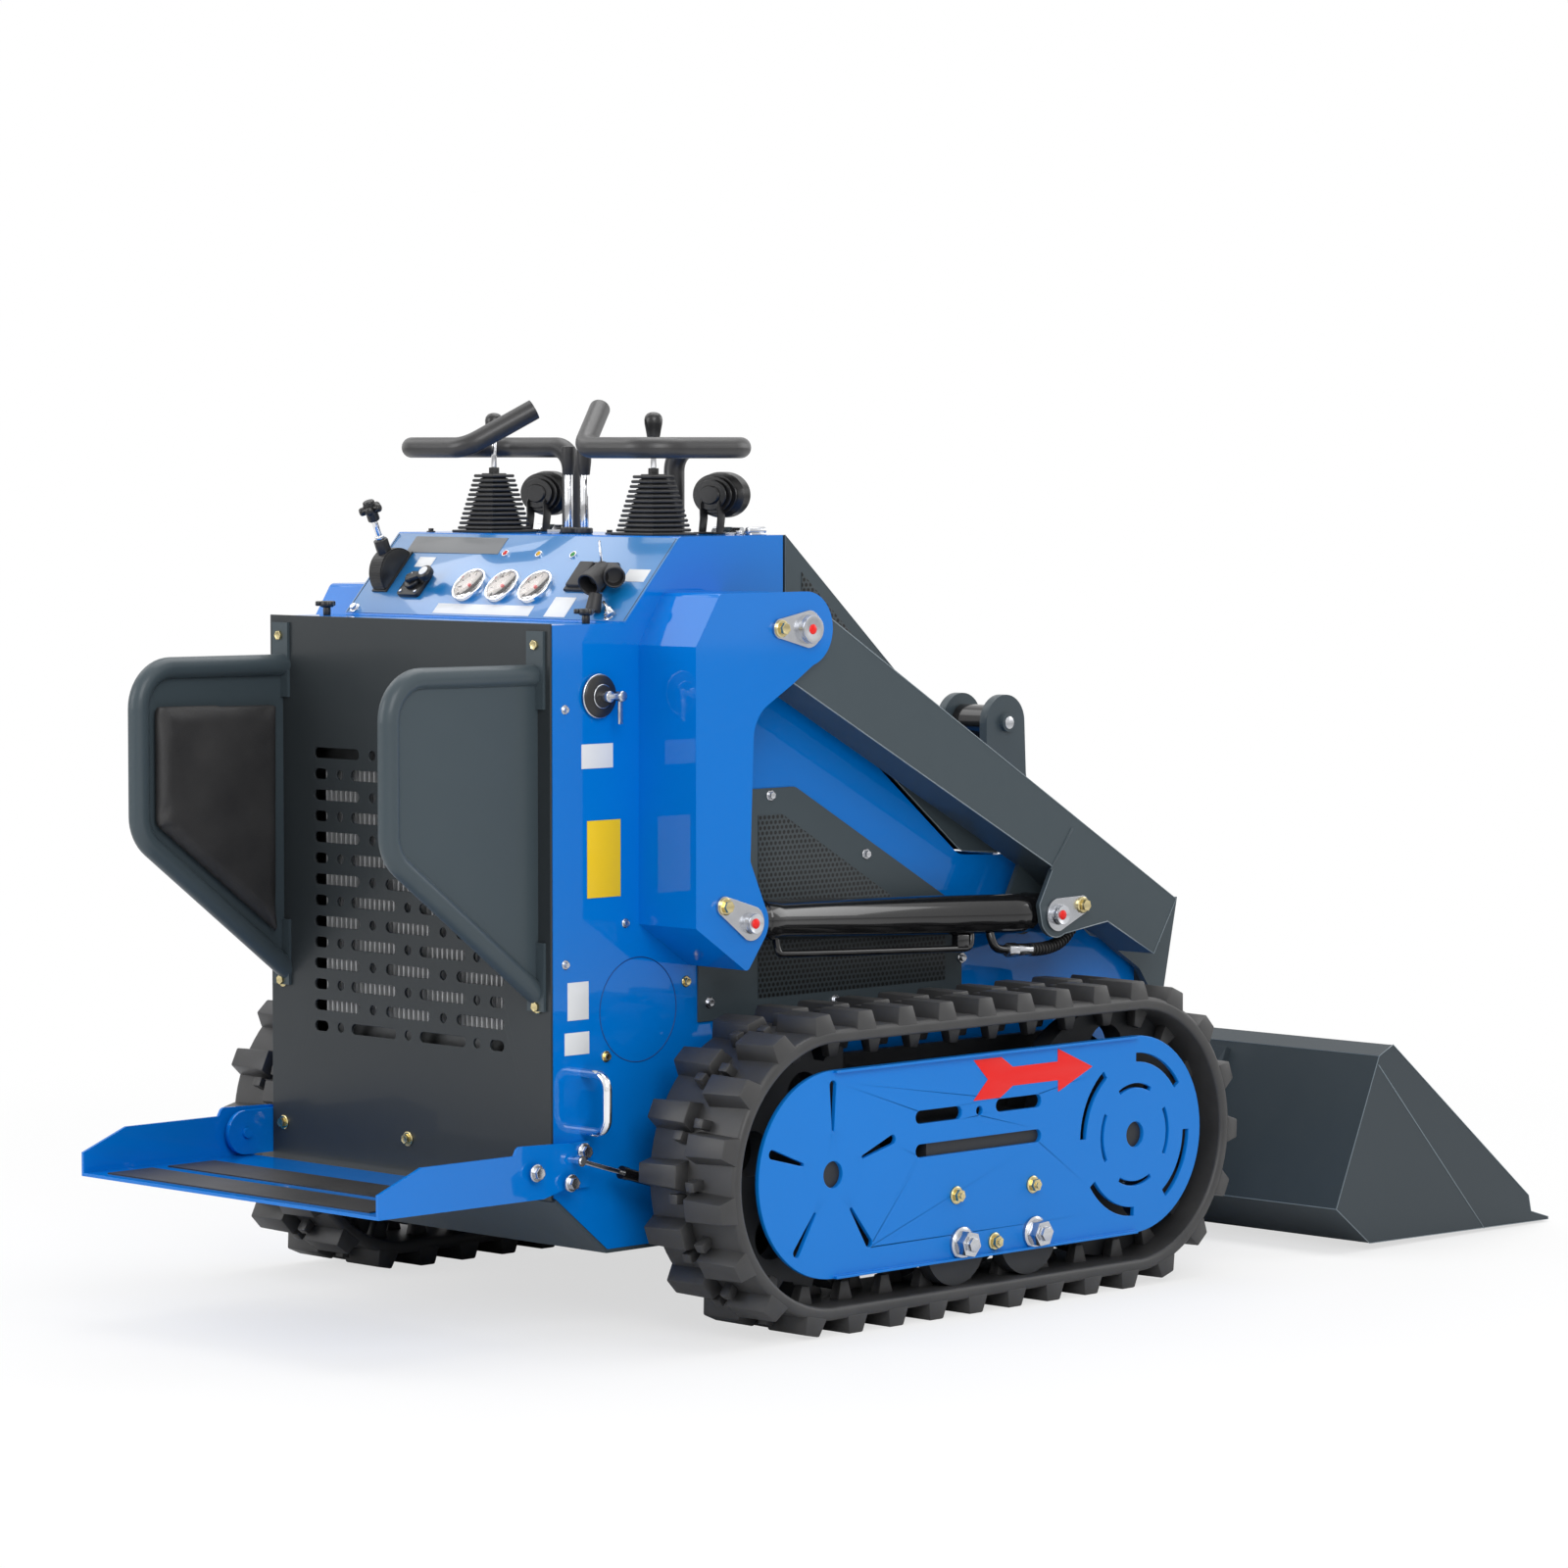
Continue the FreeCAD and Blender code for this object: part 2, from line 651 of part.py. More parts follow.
def teardrop(x, y, radius, end_x, end_y, end_radius):
    return slot(x, y, end_x, end_y, radius, end_radius)


def make_pins():
    """Pivot pins with their retainer plates: in the towers, and in the arms."""
    px, pz = S.arm_pivot_x, S.arm_pivot_z
    tx, tz = S.lift_rod_x, S.lift_rod_z
    ax, az = S.lift_eye_x, S.lift_eye_z
    tower_pins = new_body("tower_pins")
    arm_pins = new_body("arm_pins")
    for side in SIDES.values():
        prism(tower_pins, "XZ", circle(px, pz, S.arm_pin), *span(side, "body_half", "tower_outer + pin_stand"))
        prism(tower_pins, "XZ", circle(tx, tz, S.lift_pin),
              *span(side, "tower_outer - tower_plate", "tower_outer + pin_stand"))
        plates = [(px, pz, S.arm_pin + 6, px - 58, pz + 2, 15), (tx, tz, S.arm_pin + 4, tx - 55, tz + 28, 15)]
        for plate in plates:
            prism(tower_pins, "XZ", teardrop(*plate), *span(side, "tower_outer", "tower_outer + 5"))
        prism(arm_pins, "XZ", circle(ax, az, S.lift_pin), *span(side, "arm_inner", "arm_outer + pin_stand"))
        prism(arm_pins, "XZ", teardrop(ax, az, S.arm_pin + 4, ax + 55, az + 12, 15),
              *span(side, "arm_outer", "arm_outer + 5"))
    node(tower_pins, "tower_pins")
    node(arm_pins, "arm_pins")


def make_arm(name, side):
    """A box arm with a round rear end and two gusset plates below that hold the cylinder."""
    px, pz = S.arm_pivot_x, S.arm_pivot_z
    ax, az = S.lift_eye_x, S.lift_eye_z
    arm = new_body(name)
    beam = [Round(px, pz, 46, 60, 235), (-295, 972, 20), (304, 654, 12), (432, 561, 20), (544, 502),
            (598, 587)]
    prism(arm, "XZ", outline(beam), *span(side, "arm_inner", "arm_outer"))
    gusset = [(304, 654), (272, 596, 8), Round(ax, az, 36, 200, 300), (432, 561), (560, 520), (400, 660)]
    for near, far in (("arm_inner", "arm_inner + gusset_plate"), ("arm_outer - gusset_plate", "arm_outer")):
        prism(arm, "XZ", outline(gusset), *span(side, near, far))
    prism(arm, "XZ", circle(px, pz, S.arm_pin + S.pin_gap), *span(side, "arm_inner", "arm_outer"), removes=True)
    prism(arm, "XZ", circle(ax, az, S.lift_pin + S.pin_gap), *span(side, "arm_inner", "arm_outer"),
          removes=True)
    node(arm, name)


def make_boom_front():
    """Cross beam with its end plates on the arms, the ears of the tilt cylinder and the legs."""
    front = new_body("boom_front")
    bx, bz = S.bucket_pivot_x, S.bucket_pivot_z
    beam = [(628, 432), (660, 430), (693, 580), (661, 582)]
    prism(front, "XZ", outline(beam), "-(arm_inner - end_plate)", "arm_inner - end_plate")
    end_plate = [(628, 432), (660, 430), (693, 580), (598, 586), (470, 640), (440, 575), (545, 503, 20),
                 (600, 470, 20)]
    for side in SIDES.values():
        prism(front, "XZ", outline(end_plate), *span(side, "arm_inner - end_plate", "arm_inner"))
        ear = [Round(S.ear_x, S.ear_z, S.ear_radius, 0, 180), (S.ear_x - S.ear_radius, 775, 40), (650, 545, 20),
               (652, 470), (668, 470), (693, 580, 20), (S.ear_x + S.ear_radius + 4, 770, 60)]
        prism(front, "XZ", outline(ear), *span(side, "ear_outer - ear_plate", "ear_outer"))
        leg = [(661, 582), (628, 432), (bx - 58, bz + 110, 60), Round(bx, bz, 36, 195, 375),
               (bx + 20, bz + 170, 60), (678, 470), (693, 580)]
        prism(front, "XZ", outline(leg), *span(side, "leg_inner", "leg_inner + leg_plate"))
        prism(front, "XZ", circle(bx, bz, S.bucket_pin + S.pin_gap),
              *span(side, "leg_inner", "leg_inner + leg_plate"), removes=True)
    prism(front, "XZ", rectangle(600, 480, 740, 640), "-(ear_outer - ear_plate)", "ear_outer - ear_plate",
          removes=True)
    prism(front, "XZ", circle(S.ear_x, S.ear_z, 15), "-(ear_outer + 8)", "ear_outer + 8")
    node(front, "boom_front")


def make_cylinder(barrel_name, rod_name, y, base, eye, form):
    """A cylinder between two eyes: the barrel turns at base, and its rod ends in the other eye.

    Where the form has a stud, it is fixed in the rod's eye and reaches that far towards the body."""
    along = Vector(eye[0] - base[0], 0, eye[1] - base[1])
    unit = Vector(along).normalize()
    start = Vector(base[0], y, base[1])
    end = start + along
    across = Vector(0, form.eye_width / 2, 0)
    radius = form.barrel
    bore = form.rod + S.fit_gap
    drill_radius = form.pin + S.pin_gap

    tube = new_body(f"{barrel_name}_tube")
    neck = form.length * 0.92
    section = outline([(0, radius), (radius, radius), (radius, neck), (radius * 1.1, neck),
                       (radius * 1.1, form.length), (bore, form.length), (bore, form.bottom), (0, form.bottom)])
    turned(tube, section, start, Rotation(Vector(0, 0, 1), along))
    knuckle = cylinder(f"{barrel_name}_knuckle", radius * 1.12, start - across, start + across)
    barrel = doc.addObject("Part::Cut", barrel_name)
    barrel.Base = fused(f"{barrel_name}_whole", [tube, knuckle])
    barrel.Tool = cylinder(f"{barrel_name}_drill", drill_radius, start - across * 1.2, start + across * 1.2)
    node(barrel, barrel_name)

    shaft = cylinder(f"{rod_name}_shaft", form.rod, start + unit * form.rod_end, end - unit * form.pin)
    ring = cylinder(f"{rod_name}_ring", drill_radius + form.rod * 0.7, end - across * 0.9, end + across * 0.9)
    if form.stud:
        inwards = Vector(0, -math.copysign(1, y), 0)
        stud = cylinder(f"{rod_name}_stud", form.pin, end - inwards * form.eye_width * 0.6, end + inwards * form.stud)
        rod = fused(rod_name, [shaft, ring, stud])
    else:
        rod = doc.addObject("Part::Cut", rod_name)
        rod.Base = fused(f"{rod_name}_whole", [shaft, ring])
        rod.Tool = cylinder(f"{rod_name}_drill", drill_radius, end - across, end + across)
    node(rod, rod_name)


def make_lift_and_tilt_cylinders():
    middle = (S.arm_inner + S.arm_outer) / 2
    lift_width = S.arm_outer - S.arm_inner - 2 * S.gusset_plate - 6
    lift = SimpleNamespace(barrel=S.lift_barrel, rod=S.lift_rod, length=545, bottom=84, rod_end=96,
                           eye_width=lift_width, pin=S.lift_pin, stud=0)
    for name, side in SIDES.items():
        make_cylinder(f"lift_barrel_{name}", f"lift_rod_{name}", side * middle,
                      (S.lift_eye_x, S.lift_eye_z), (S.lift_rod_x, S.lift_rod_z), lift)
    tilt = SimpleNamespace(barrel=S.tilt_barrel, rod=S.tilt_rod, length=430, bottom=84, rod_end=160,
                           eye_width=2 * (S.ear_outer - S.ear_plate) - 6, pin=15, stud=0)
    make_cylinder("tilt_barrel", "tilt_rod", 0, (S.ear_x, S.ear_z), (S.tilt_eye_x, S.tilt_eye_z), tilt)


# Bucket

BUCKET_BACK = [(825, 76), (933, 318)]


def make_bucket():
    """Bucket of folded sheet with side plates, a cutting edge and a folded upper lip."""
    bucket = new_body("bucket")
    inner_half = "bucket_half - bucket_side"
    shell = [(1336, 5), (911, 12), *BUCKET_BACK, (969, 334)]
    prism(bucket, "XZ", folded_sheet(shell, -S.bucket_sheet), f"-({inner_half})", inner_half)
    cheek = [BUCKET_BACK[0], (911, 12), (1336, 5), (1345, 14), (1336, 50), (969, 334), BUCKET_BACK[1]]
    edge = [(1270, 6.1), (1391, 4), (1391, 8), (1336, 24), (1270, 24)]
    prism(bucket, "XZ", outline(edge), "-bucket_half", "bucket_half")
    for side in SIDES.values():
        prism(bucket, "XZ", outline(cheek), *span(side, inner_half, "bucket_half"))
    node(bucket, "bucket")

    coupler = new_body("bucket_coupler")
    bx, bz = S.bucket_pivot_x, S.bucket_pivot_z
    back_low, back_high = Vector(*BUCKET_BACK[0], 0), Vector(*BUCKET_BACK[1], 0)
    low, high = (back_low + (back_high - back_low) * share for share in (0.12, 0.95))
    face = [(low.x, low.y), (high.x, high.y)]
    prism(coupler, "XZ", folded_sheet(face, S.coupler_plate), "-coupler_half", "coupler_half")
    rear_face = shifted(face, S.coupler_plate / 2)
    middle = ((rear_face[0][0] + rear_face[1][0]) / 2, (rear_face[0][1] + rear_face[1][1]) / 2)
    lug = [Round(bx, bz, 32, 150, 290), rear_face[0], middle, (850, 235, 20)]
    tilt_lug = [middle, rear_face[1], Round(S.tilt_eye_x, S.tilt_eye_z, 30, 60, 190)]
    for side in SIDES.values():
        near_lug = ("leg_inner - lug_gap - lug_plate", "leg_inner - lug_gap")
        far_lug = ("leg_inner + leg_plate + lug_gap", "leg_inner + leg_plate + lug_gap + lug_plate")
        for near, far in (near_lug, far_lug):
            prism(coupler, "XZ", outline(lug), *span(side, near, far))
        prism(coupler, "XZ", circle(bx, bz, S.bucket_pin), *span(side, near_lug[0], far_lug[1]))
        prism(coupler, "XZ", outline(tilt_lug), *span(side, "ear_outer - ear_plate", "ear_outer"))
    node(coupler, "bucket_coupler")


# Operator's station

def make_platform():
    """Folding platform: a floor with a rear lip and two side plates, and its fixed brackets."""
    platform = new_body("platform")
    px, pz = S.platform_pivot_x, S.platform_pivot_z
    floor = [(S.platform_rear, S.platform_floor), (-704, S.platform_floor)]
    prism(platform, "XZ", folded_sheet(floor, S.platform_sheet), "-platform_half", "platform_half")
    cheek = [(S.platform_rear, S.platform_floor), (S.platform_rear, 255), (-941, 287), (-762, 287),
             (-755, 300, 10), (-640, 296, 20), (-636, 236, 20), (-704, S.platform_floor)]
    for side in SIDES.values():
        prism(platform, "XZ", outline(cheek), *span(side, "platform_half - platform_sheet", "platform_half"))
        prism(platform, "XZ", circle(px, pz, 8), *span(side, "body_half - 6", "platform_half + 8"))
    node(platform, "platform")

    grips = new_body("platform_grips")
    top = "platform_floor + platform_sheet"
    half = S.platform_half - 40
    strips = rectangle(-1005, -half, -920, half) + rectangle(-890, -half, -800, half)
    prism(grips, "XY", strips, top, f"{top} + 2")
    node(grips, "platform_grips")

    brackets = new_body("platform_brackets")
    wing = [Round(px, pz, 34, 90, 270), (-600, pz - 34), (-600, pz + 34)]
    for side in SIDES.values():
        prism(brackets, "XZ", outline(wing), *span(side, "body_half", "body_half + bracket_plate"))
        prism(brackets, "XZ", circle(px, pz, 8 + S.pin_gap),
              *span(side, "body_half", "body_half + bracket_plate"), removes=True)
        prism(brackets, "XZ", circle(S.spring_base_x, S.spring_base_z, 5), *span(side, "body_half", "spring_y + 3"))
    node(brackets, "platform_brackets")


def make_gas_springs():
    """Gas springs that hold the platform: the tube on the body, the rod on the platform."""
    form = SimpleNamespace(barrel=S.spring_tube, rod=S.spring_rod, length=140, bottom=30, rod_end=40,
                           eye_width=10, pin=5, stud=S.spring_gap - S.fit_gap)
    for name, side in SIDES.items():
        make_cylinder(f"gas_tube_{name}", f"gas_rod_{name}", side * S.spring_y,
                      (S.spring_base_x, S.spring_base_z), (S.spring_ball_x, S.spring_ball_z), form)


def make_hip_pads():
    """Hip pads at both sides of the platform: a bent tube with a sheet inside, and a cushion."""
    panel = S.rear_x
    frames = []
    cushions = new_body("hip_cushions")
    for name, side in SIDES.items():
        y = side * S.pad_y
        route = [Vector(panel + 20, y, 980), Vector(-952, y, 982), Vector(-952, y, 730), Vector(panel + 20, y, 498)]
        bent = bent_tube(f"pad_{name}_bent", route, S.pad_tube, [60, 60])
        beyond = doc.addObject("Part::Box", f"pad_{name}_beyond")
        beyond.Length, beyond.Width, beyond.Height = 60, 80, 700
        beyond.Placement.Base = Vector(panel, y - 40, 400)
        tube = doc.addObject("Part::Cut", f"pad_{name}_tube")
        tube.Base = bent
        tube.Tool = beyond
        parts = new_body(f"pad_{name}_plates")
        web = outline([(panel, 980), (-948, 980, 60), (-948, 732, 60), (panel, 516)])
        prism(parts, "XZ", web, *span(side, "pad_y + 4 - pad_sheet / 2", "pad_y + 4 + pad_sheet / 2"))
        for low, high in ((931, 1045), (488, 589)):
            flange = rectangle(panel - 5, low, panel, high)
            prism(parts, "XZ", flange, *span(side, "pad_y - 14", "pad_y + 22"))
        frames.append(fused(f"pad_{name}", [tube, parts]))
        pad = outline([(-690, 925, 30), (-930, 928, 45), (-930, 742, 45), (-690, 562, 30)])
        prism(cushions, "XZ", pad, *span(side, "pad_y + 4 - pad_sheet / 2 - cushion_thick",
                                         "pad_y + 4 - pad_sheet / 2"))
    node(gathered("hip_pad_frames", frames), "hip_pad_frames")
    node(cushions, "hip_cushions")


def make_handle_bars():
    """Fixed hand bars on the deck: a post, a square loop and a raised grip on each side."""
    bars = []
    for name, side in SIDES.items():
        route = [(-223, 115, S.deck_z), (-223, 115, S.bar_height), (-223, 290, S.bar_height),
                 (-430, 290, S.bar_height), (-430, 133, S.bar_height), (-341, 74, S.bar_height + 59)]
        points = [Vector(x, side * y, z) for x, y, z in route]
        bars.append(bent_tube(f"bar_{name}", points, S.bar_radius, [36, 50, 50, 40]))
    node(gathered("hand_bars", bars), "hand_bars")


def make_joysticks():
    """Two joysticks: a square bellows on the deck, a stalk and a rounded knob."""
    sticks = []
    deck = S.deck_z
    height = 91
    fins = 12
    base_half, top_half, root = 41.5, 22, 5
    for name, side in SIDES.items():
        x, y = -329, side * 183
        halves = []
        for plane, middle in (("XZ", x), ("YZ", y)):
            zigzag = [(base_half, deck)]
            step = height / fins
            for number in range(fins):
                half = base_half + (top_half - base_half) * number / (fins - 1)
                low = deck + number * step
                zigzag += [(half, low + step * 0.1), (half, low + step * 0.5), (half - root, low + step * 0.6)]
                zigzag += [(half - root, low + step)]
            right = [(middle + half, z) for half, z in zigzag]
            left = [(middle - half, z) for half, z in reversed(zigzag)]
            body = new_body(f"bellows_{name}_{plane}")
            if plane == "XZ":
                prism(body, plane, outline(right + left), f"{y} - 60", f"{y} + 60")
            else:
                prism(body, plane, outline(right + left), f"{x} - 60", f"{x} + 60")
            halves.append(body)
        bellows = doc.addObject("Part::MultiCommon", f"bellows_{name}")
        bellows.Shapes = halves
        top = deck + height
        tip = deck + S.stick_rise
        stalk = cylinder(f"stalk_{name}", 6, Vector(x, y, top - 5), Vector(x, y, tip))
        knob = new_body(f"knob_{name}")
        turned(knob, outline([(0, 0), (9, 0), (14, 14, 6), (12, 34, 8), (0, 40)]), Vector(x, y, tip - 8))
        sticks.append(fused(f"joystick_{name}", [bellows, stalk, knob]))
    node(gathered("joysticks", sticks), "joysticks")


def make_drive_levers():
    """Two upright levers in the middle of the deck, with rubber sleeves."""
    levers = []
    for name, side in SIDES.items():
        x, y = -321, side * 18
        tip = S.deck_z + S.lever_rise
        rod = cylinder(f"lever_{name}_rod", 6, Vector(x, y, S.deck_z), Vector(x, y, tip))
        sleeve = cylinder(f"lever_{name}_sleeve", 10, Vector(x, y, tip - 50), Vector(x, y, tip + 12))
        boss = cylinder(f"lever_{name}_boss", 13, Vector(x, y, S.deck_z), Vector(x, y, S.deck_z + 10))
        levers.append(fused(f"lever_{name}", [rod, sleeve, boss]))
    node(gathered("drive_levers", levers), "drive_levers")


def make_lamps():
    """Two round work lamps that face forward, each on a bent bracket."""
    lamps = []
    for name, side in SIDES.items():
        y = side * 196
        centre = Vector(-205, y, S.deck_z + S.lamp_rise)
        shell = new_body(f"lamp_{name}_shell")
        radius = S.lamp_radius
        section = outline([(0, -24), (radius * 0.55, -22, 6), (radius * 0.9, -6, 6), (radius, 0), (radius, 16),
                           (radius - 4, 16), (radius - 4, 12), (0, 12)])
        turned(shell, section, centre, Rotation(Vector(0, 0, 1), Vector(1, 0, 0)))
        arm = new_body(f"lamp_{name}_arm")
        plate = outline([(-236, S.deck_z), (-205, S.deck_z), (-205, centre.z - 18), (-212, centre.z),
                         (-224, centre.z), (-236, centre.z - 30)])
        prism(arm, "XZ", plate, f"{y} - 4", f"{y} + 4")
        lamps.append(fused(f"lamp_{name}", [shell, arm]))
    node(gathered("work_lamps", lamps), "work_lamps")


def make_grab_handles():
    """Chromed grab handles, low on both sides of the body."""
    handles = []
    for name, side in SIDES.items():
        y = side * S.body_half
        out = side * (S.body_half + 52)
        points = [Vector(-606, y, 394), Vector(-606, out, 394), Vector(-606, out, 309), Vector(-606, y, 309)]
        handles.append(bent_tube(f"grab_{name}", points, 7, [22, 22]))
    node(gathered("grab_handles", handles), "grab_handles")


def console_place(along, y, lift):
    """A point over the sloping console: along runs up the slope from the ledge."""
    slope = Vector(S.console_front - S.ledge_front, 0, S.deck_z - S.ledge_z).normalize()
    normal = Vector(-slope.z, 0, slope.x)
    return Vector(S.ledge_front, y, S.ledge_z) + slope * along + normal * lift


def make_instruments():
    """Gauges, a key switch, the ignition socket and lamps on the sloping console."""
    items = []
    rows = [  # name, place along the slope, place across, radius, height
        ("gauge_right", 58, -75, 31, 9),
        ("gauge_middle", 58, 0, 31, 9),
        ("gauge_left", 58, 75, 31, 9),
        ("lamp_red", 128, 37, 5, 4),
        ("lamp_yellow", 128, -38, 5, 4),
        ("lamp_green", 128, -115, 5, 4),
    ]
    for name, along, y, radius, height in rows:
        items.append(cylinder(name, radius, console_place(along, y, 0), console_place(along, y, height)))
    key_base = cylinder("key_base", 22, console_place(66, 200, 0), console_place(66, 200, 14))
    key_grip = cylinder("key_grip", 9, console_place(66, 200, 12), console_place(66, 200, 34))
    items.append(fused("key_switch", [key_base, key_grip]))
    socket_base = cylinder("socket_base", 26, console_place(76, -200, 0), console_place(76, -200, 10))
    socket_grip = cylinder("socket_grip", 16, console_place(76, -200, 8), console_place(76, -200, 40))
    items.append(fused("ignition", [socket_base, socket_grip]))
    for name, y in (("ledge_knob_left", 290), ("ledge_knob_right", -290)):
        stem = cylinder(f"{name}_stem", 5, Vector(-585, y, S.ledge_z), Vector(-585, y, S.ledge_z + 16))
        cap = cylinder(f"{name}_cap", 11, Vector(-585, y, S.ledge_z + 12), Vector(-585, y, S.ledge_z + 22))
        items.append(fused(name, [stem, cap]))
    node(gathered("console_instruments", items), "console_instruments")


def make_throttle():
    """Throttle lever: a half round dome on the console, a bar and a star knob."""
    foot = console_place(86, 268, 0)
    normal = (console_place(86, 268, 1) - foot).normalize()
    dome = new_body("throttle_dome")
    turned(dome, outline([(0, 0), Round(0, 0, 38, 0, 90)]), foot, Rotation(Vector(0, 0, 1), normal))
    bar_end = foot + normal * 84 + Vector(-12, 0, 34)
    bar = cylinder("throttle_bar", 6, foot + normal * 20, bar_end)
    along = (bar_end - foot).normalize()
    knob = cylinder("throttle_knob", 15, bar_end - along * 4, bar_end + along * 26)
    node(fused("throttle_lever", [dome, bar, knob]), "throttle_lever")


def make_battery_switch():
    """Battery switch on the right side: a round base and a turning grip."""
    y = -S.body_half
    base = cylinder("battery_base", 32, Vector(-576, y, 948), Vector(-576, y - 12, 948))
    grip = cylinder("battery_grip", 12, Vector(-576, y - 10, 948), Vector(-576, y - 40, 948))
    node(fused("battery_switch", [base, grip]), "battery_switch")


make_track("track_right", SIDES["right"])
make_track("track_left", SIDES["left"])
make_wheels()
make_track_frames()
make_track_guards()
make_body_shell()
make_rear_panel()
make_radiator()
make_engine()
make_hood()
make_side_screens()
make_towers()
make_pins()
make_arm("arm_right", SIDES["right"])
make_arm("arm_left", SIDES["left"])
make_boom_front()
make_lift_and_tilt_cylinders()
make_bucket()
make_platform()
make_gas_springs()
make_hip_pads()
make_handle_bars()
make_joysticks()
make_drive_levers()
make_lamps()
make_grab_handles()
make_instruments()
make_throttle()
make_battery_switch()

doc.recompute()
failed = [item.Name for item in doc.Objects if "Invalid" in item.State or "Error" in item.State]
if failed:
    raise RuntimeError(f"failed objects: {failed}")
for item in nodes:
    if item.Shape.isNull() or not item.Shape.isValid() or not item.Shape.Solids:
        raise RuntimeError(f"bad shape: {item.Label}")

os.makedirs("parts", exist_ok=True)
for item in nodes:
    item.Shape.exportStep(f"parts/{item.Label}.step")
    box = item.Shape.BoundBox
    print(f"{item.Label}: {len(item.Shape.Solids)} solids, {item.Shape.Volume / 1e6:.2f} dm3,",
          f"x {box.XMin:.0f}..{box.XMax:.0f} y {box.YMin:.0f}..{box.YMax:.0f} z {box.ZMin:.1f}..{box.ZMax:.0f}")
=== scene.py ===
import math

import bpy
from mathutils import Matrix, Vector


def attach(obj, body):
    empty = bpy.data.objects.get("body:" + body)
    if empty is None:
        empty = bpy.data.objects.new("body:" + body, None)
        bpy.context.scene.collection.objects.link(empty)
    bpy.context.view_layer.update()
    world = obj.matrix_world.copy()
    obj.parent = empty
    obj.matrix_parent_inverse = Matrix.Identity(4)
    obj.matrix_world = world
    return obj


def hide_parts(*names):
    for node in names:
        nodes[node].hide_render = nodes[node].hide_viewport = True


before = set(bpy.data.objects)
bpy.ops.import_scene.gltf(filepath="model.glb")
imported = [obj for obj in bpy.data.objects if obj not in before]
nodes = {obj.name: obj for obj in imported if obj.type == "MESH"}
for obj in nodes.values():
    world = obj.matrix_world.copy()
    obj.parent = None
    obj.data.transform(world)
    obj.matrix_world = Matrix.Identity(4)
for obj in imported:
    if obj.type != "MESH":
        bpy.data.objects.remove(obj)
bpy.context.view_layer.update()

# A mini skid steer loader: +X to the bucket, +Y to the driver's left, +Z up.
# Places are written in millimetres on the drawing, which counts from between the track wheels.
datumX = -186


def spot(x, y, z):
    return Vector(((x + datumX) / 1000, y / 1000, z / 1000))


# Shader nodes

def addNode(tree, kind, links=(), **settings):
    made = tree.nodes.new(f"ShaderNode{kind}")
    for key, value in settings.items():
        made.inputs[key].default_value = value
    for source, target in links:
        tree.links.new(source, made.inputs[target])
    return made


def mathNode(tree, operation, *values):
    made = tree.nodes.new("ShaderNodeMath")
    made.operation = operation
    for index, value in enumerate(values):
        if isinstance(value, (int, float)):
            made.inputs[index].default_value = value
        else:
            tree.links.new(value, made.inputs[index])
    return made.outputs[0]


def swing(tree, pattern, reach):
    # a pattern of 0 to 1, centred on zero and scaled
    return mathNode(tree, "MULTIPLY", mathNode(tree, "SUBTRACT", pattern, 0.5), reach)


def objectPlace(tree):
    return tree.nodes.new("ShaderNodeTexCoord").outputs["Object"]


def noise(tree, place, scale, detail):
    return addNode(tree, "TexNoise", [(place, "Vector")], Scale=scale, Detail=detail).outputs["Fac"]


def relief(tree, height, strength, distance):
    made = addNode(tree, "Bump", [(height, "Height"), (strength, "Strength")], Distance=distance)
    return made.outputs[0]


def mixColour(tree, share, first, second):
    mix = tree.nodes.new("ShaderNodeMix")
    mix.data_type = "RGBA"
    for value, socket in ((share, mix.inputs["Factor"]), (first, mix.inputs[6]), (second, mix.inputs[7])):
        if isinstance(value, tuple):
            socket.default_value = value
        else:
            tree.links.new(value, socket)
    return mix.outputs[2]


# Camera, floor and lamps

cameraView = {"place": (-6.2954, -6.2337, 1.320), "yaw": 44.97, "pitch": -3.543, "lens": 126.675,
              "sensor": 36}
floorLook = {"size": 40, "colour": 0.86, "shown": 0.66, "near": 1.2, "fade": 3.2}
worldLook = {"shown": 1.0, "light": 0.46}
lampTable = [  # name, place, looks at, size, watts
    ("lampKey", (-3.4, -4.6, 3.6), (0.0, 0.0, 0.5), 3.2, 165),
    ("lampTop", (0.6, 0.2, 4.6), (0.0, 0.0, 0.4), 3.6, 105),
    ("lampFill", (-4.8, 2.2, 2.4), (0.0, 0.0, 0.5), 2.6, 75),
    ("lampFront", (4.6, -2.2, 2.6), (0.0, 0.0, 0.4), 2.6, 50),
    ("lampSheen", (-1.3, 3.5, 4.5), (-0.4, 0.0, 1.0), 2.6, 34),
]


def aim(item, place, target):
    item.location = place
    item.rotation_euler = (Vector(target) - Vector(place)).to_track_quat("-Z", "Y").to_euler()


def makeCamera():
    camera = bpy.data.objects.new("camera", bpy.data.cameras.new("camera"))
    camera.data.lens = cameraView["lens"]
    camera.data.sensor_width = cameraView["sensor"]
    camera.data.clip_end = 100
    camera.location = cameraView["place"]
    camera.rotation_euler = (math.radians(90 + cameraView["pitch"]), 0, math.radians(cameraView["yaw"] - 90))
    bpy.context.scene.collection.objects.link(camera)
    bpy.context.scene.camera = camera


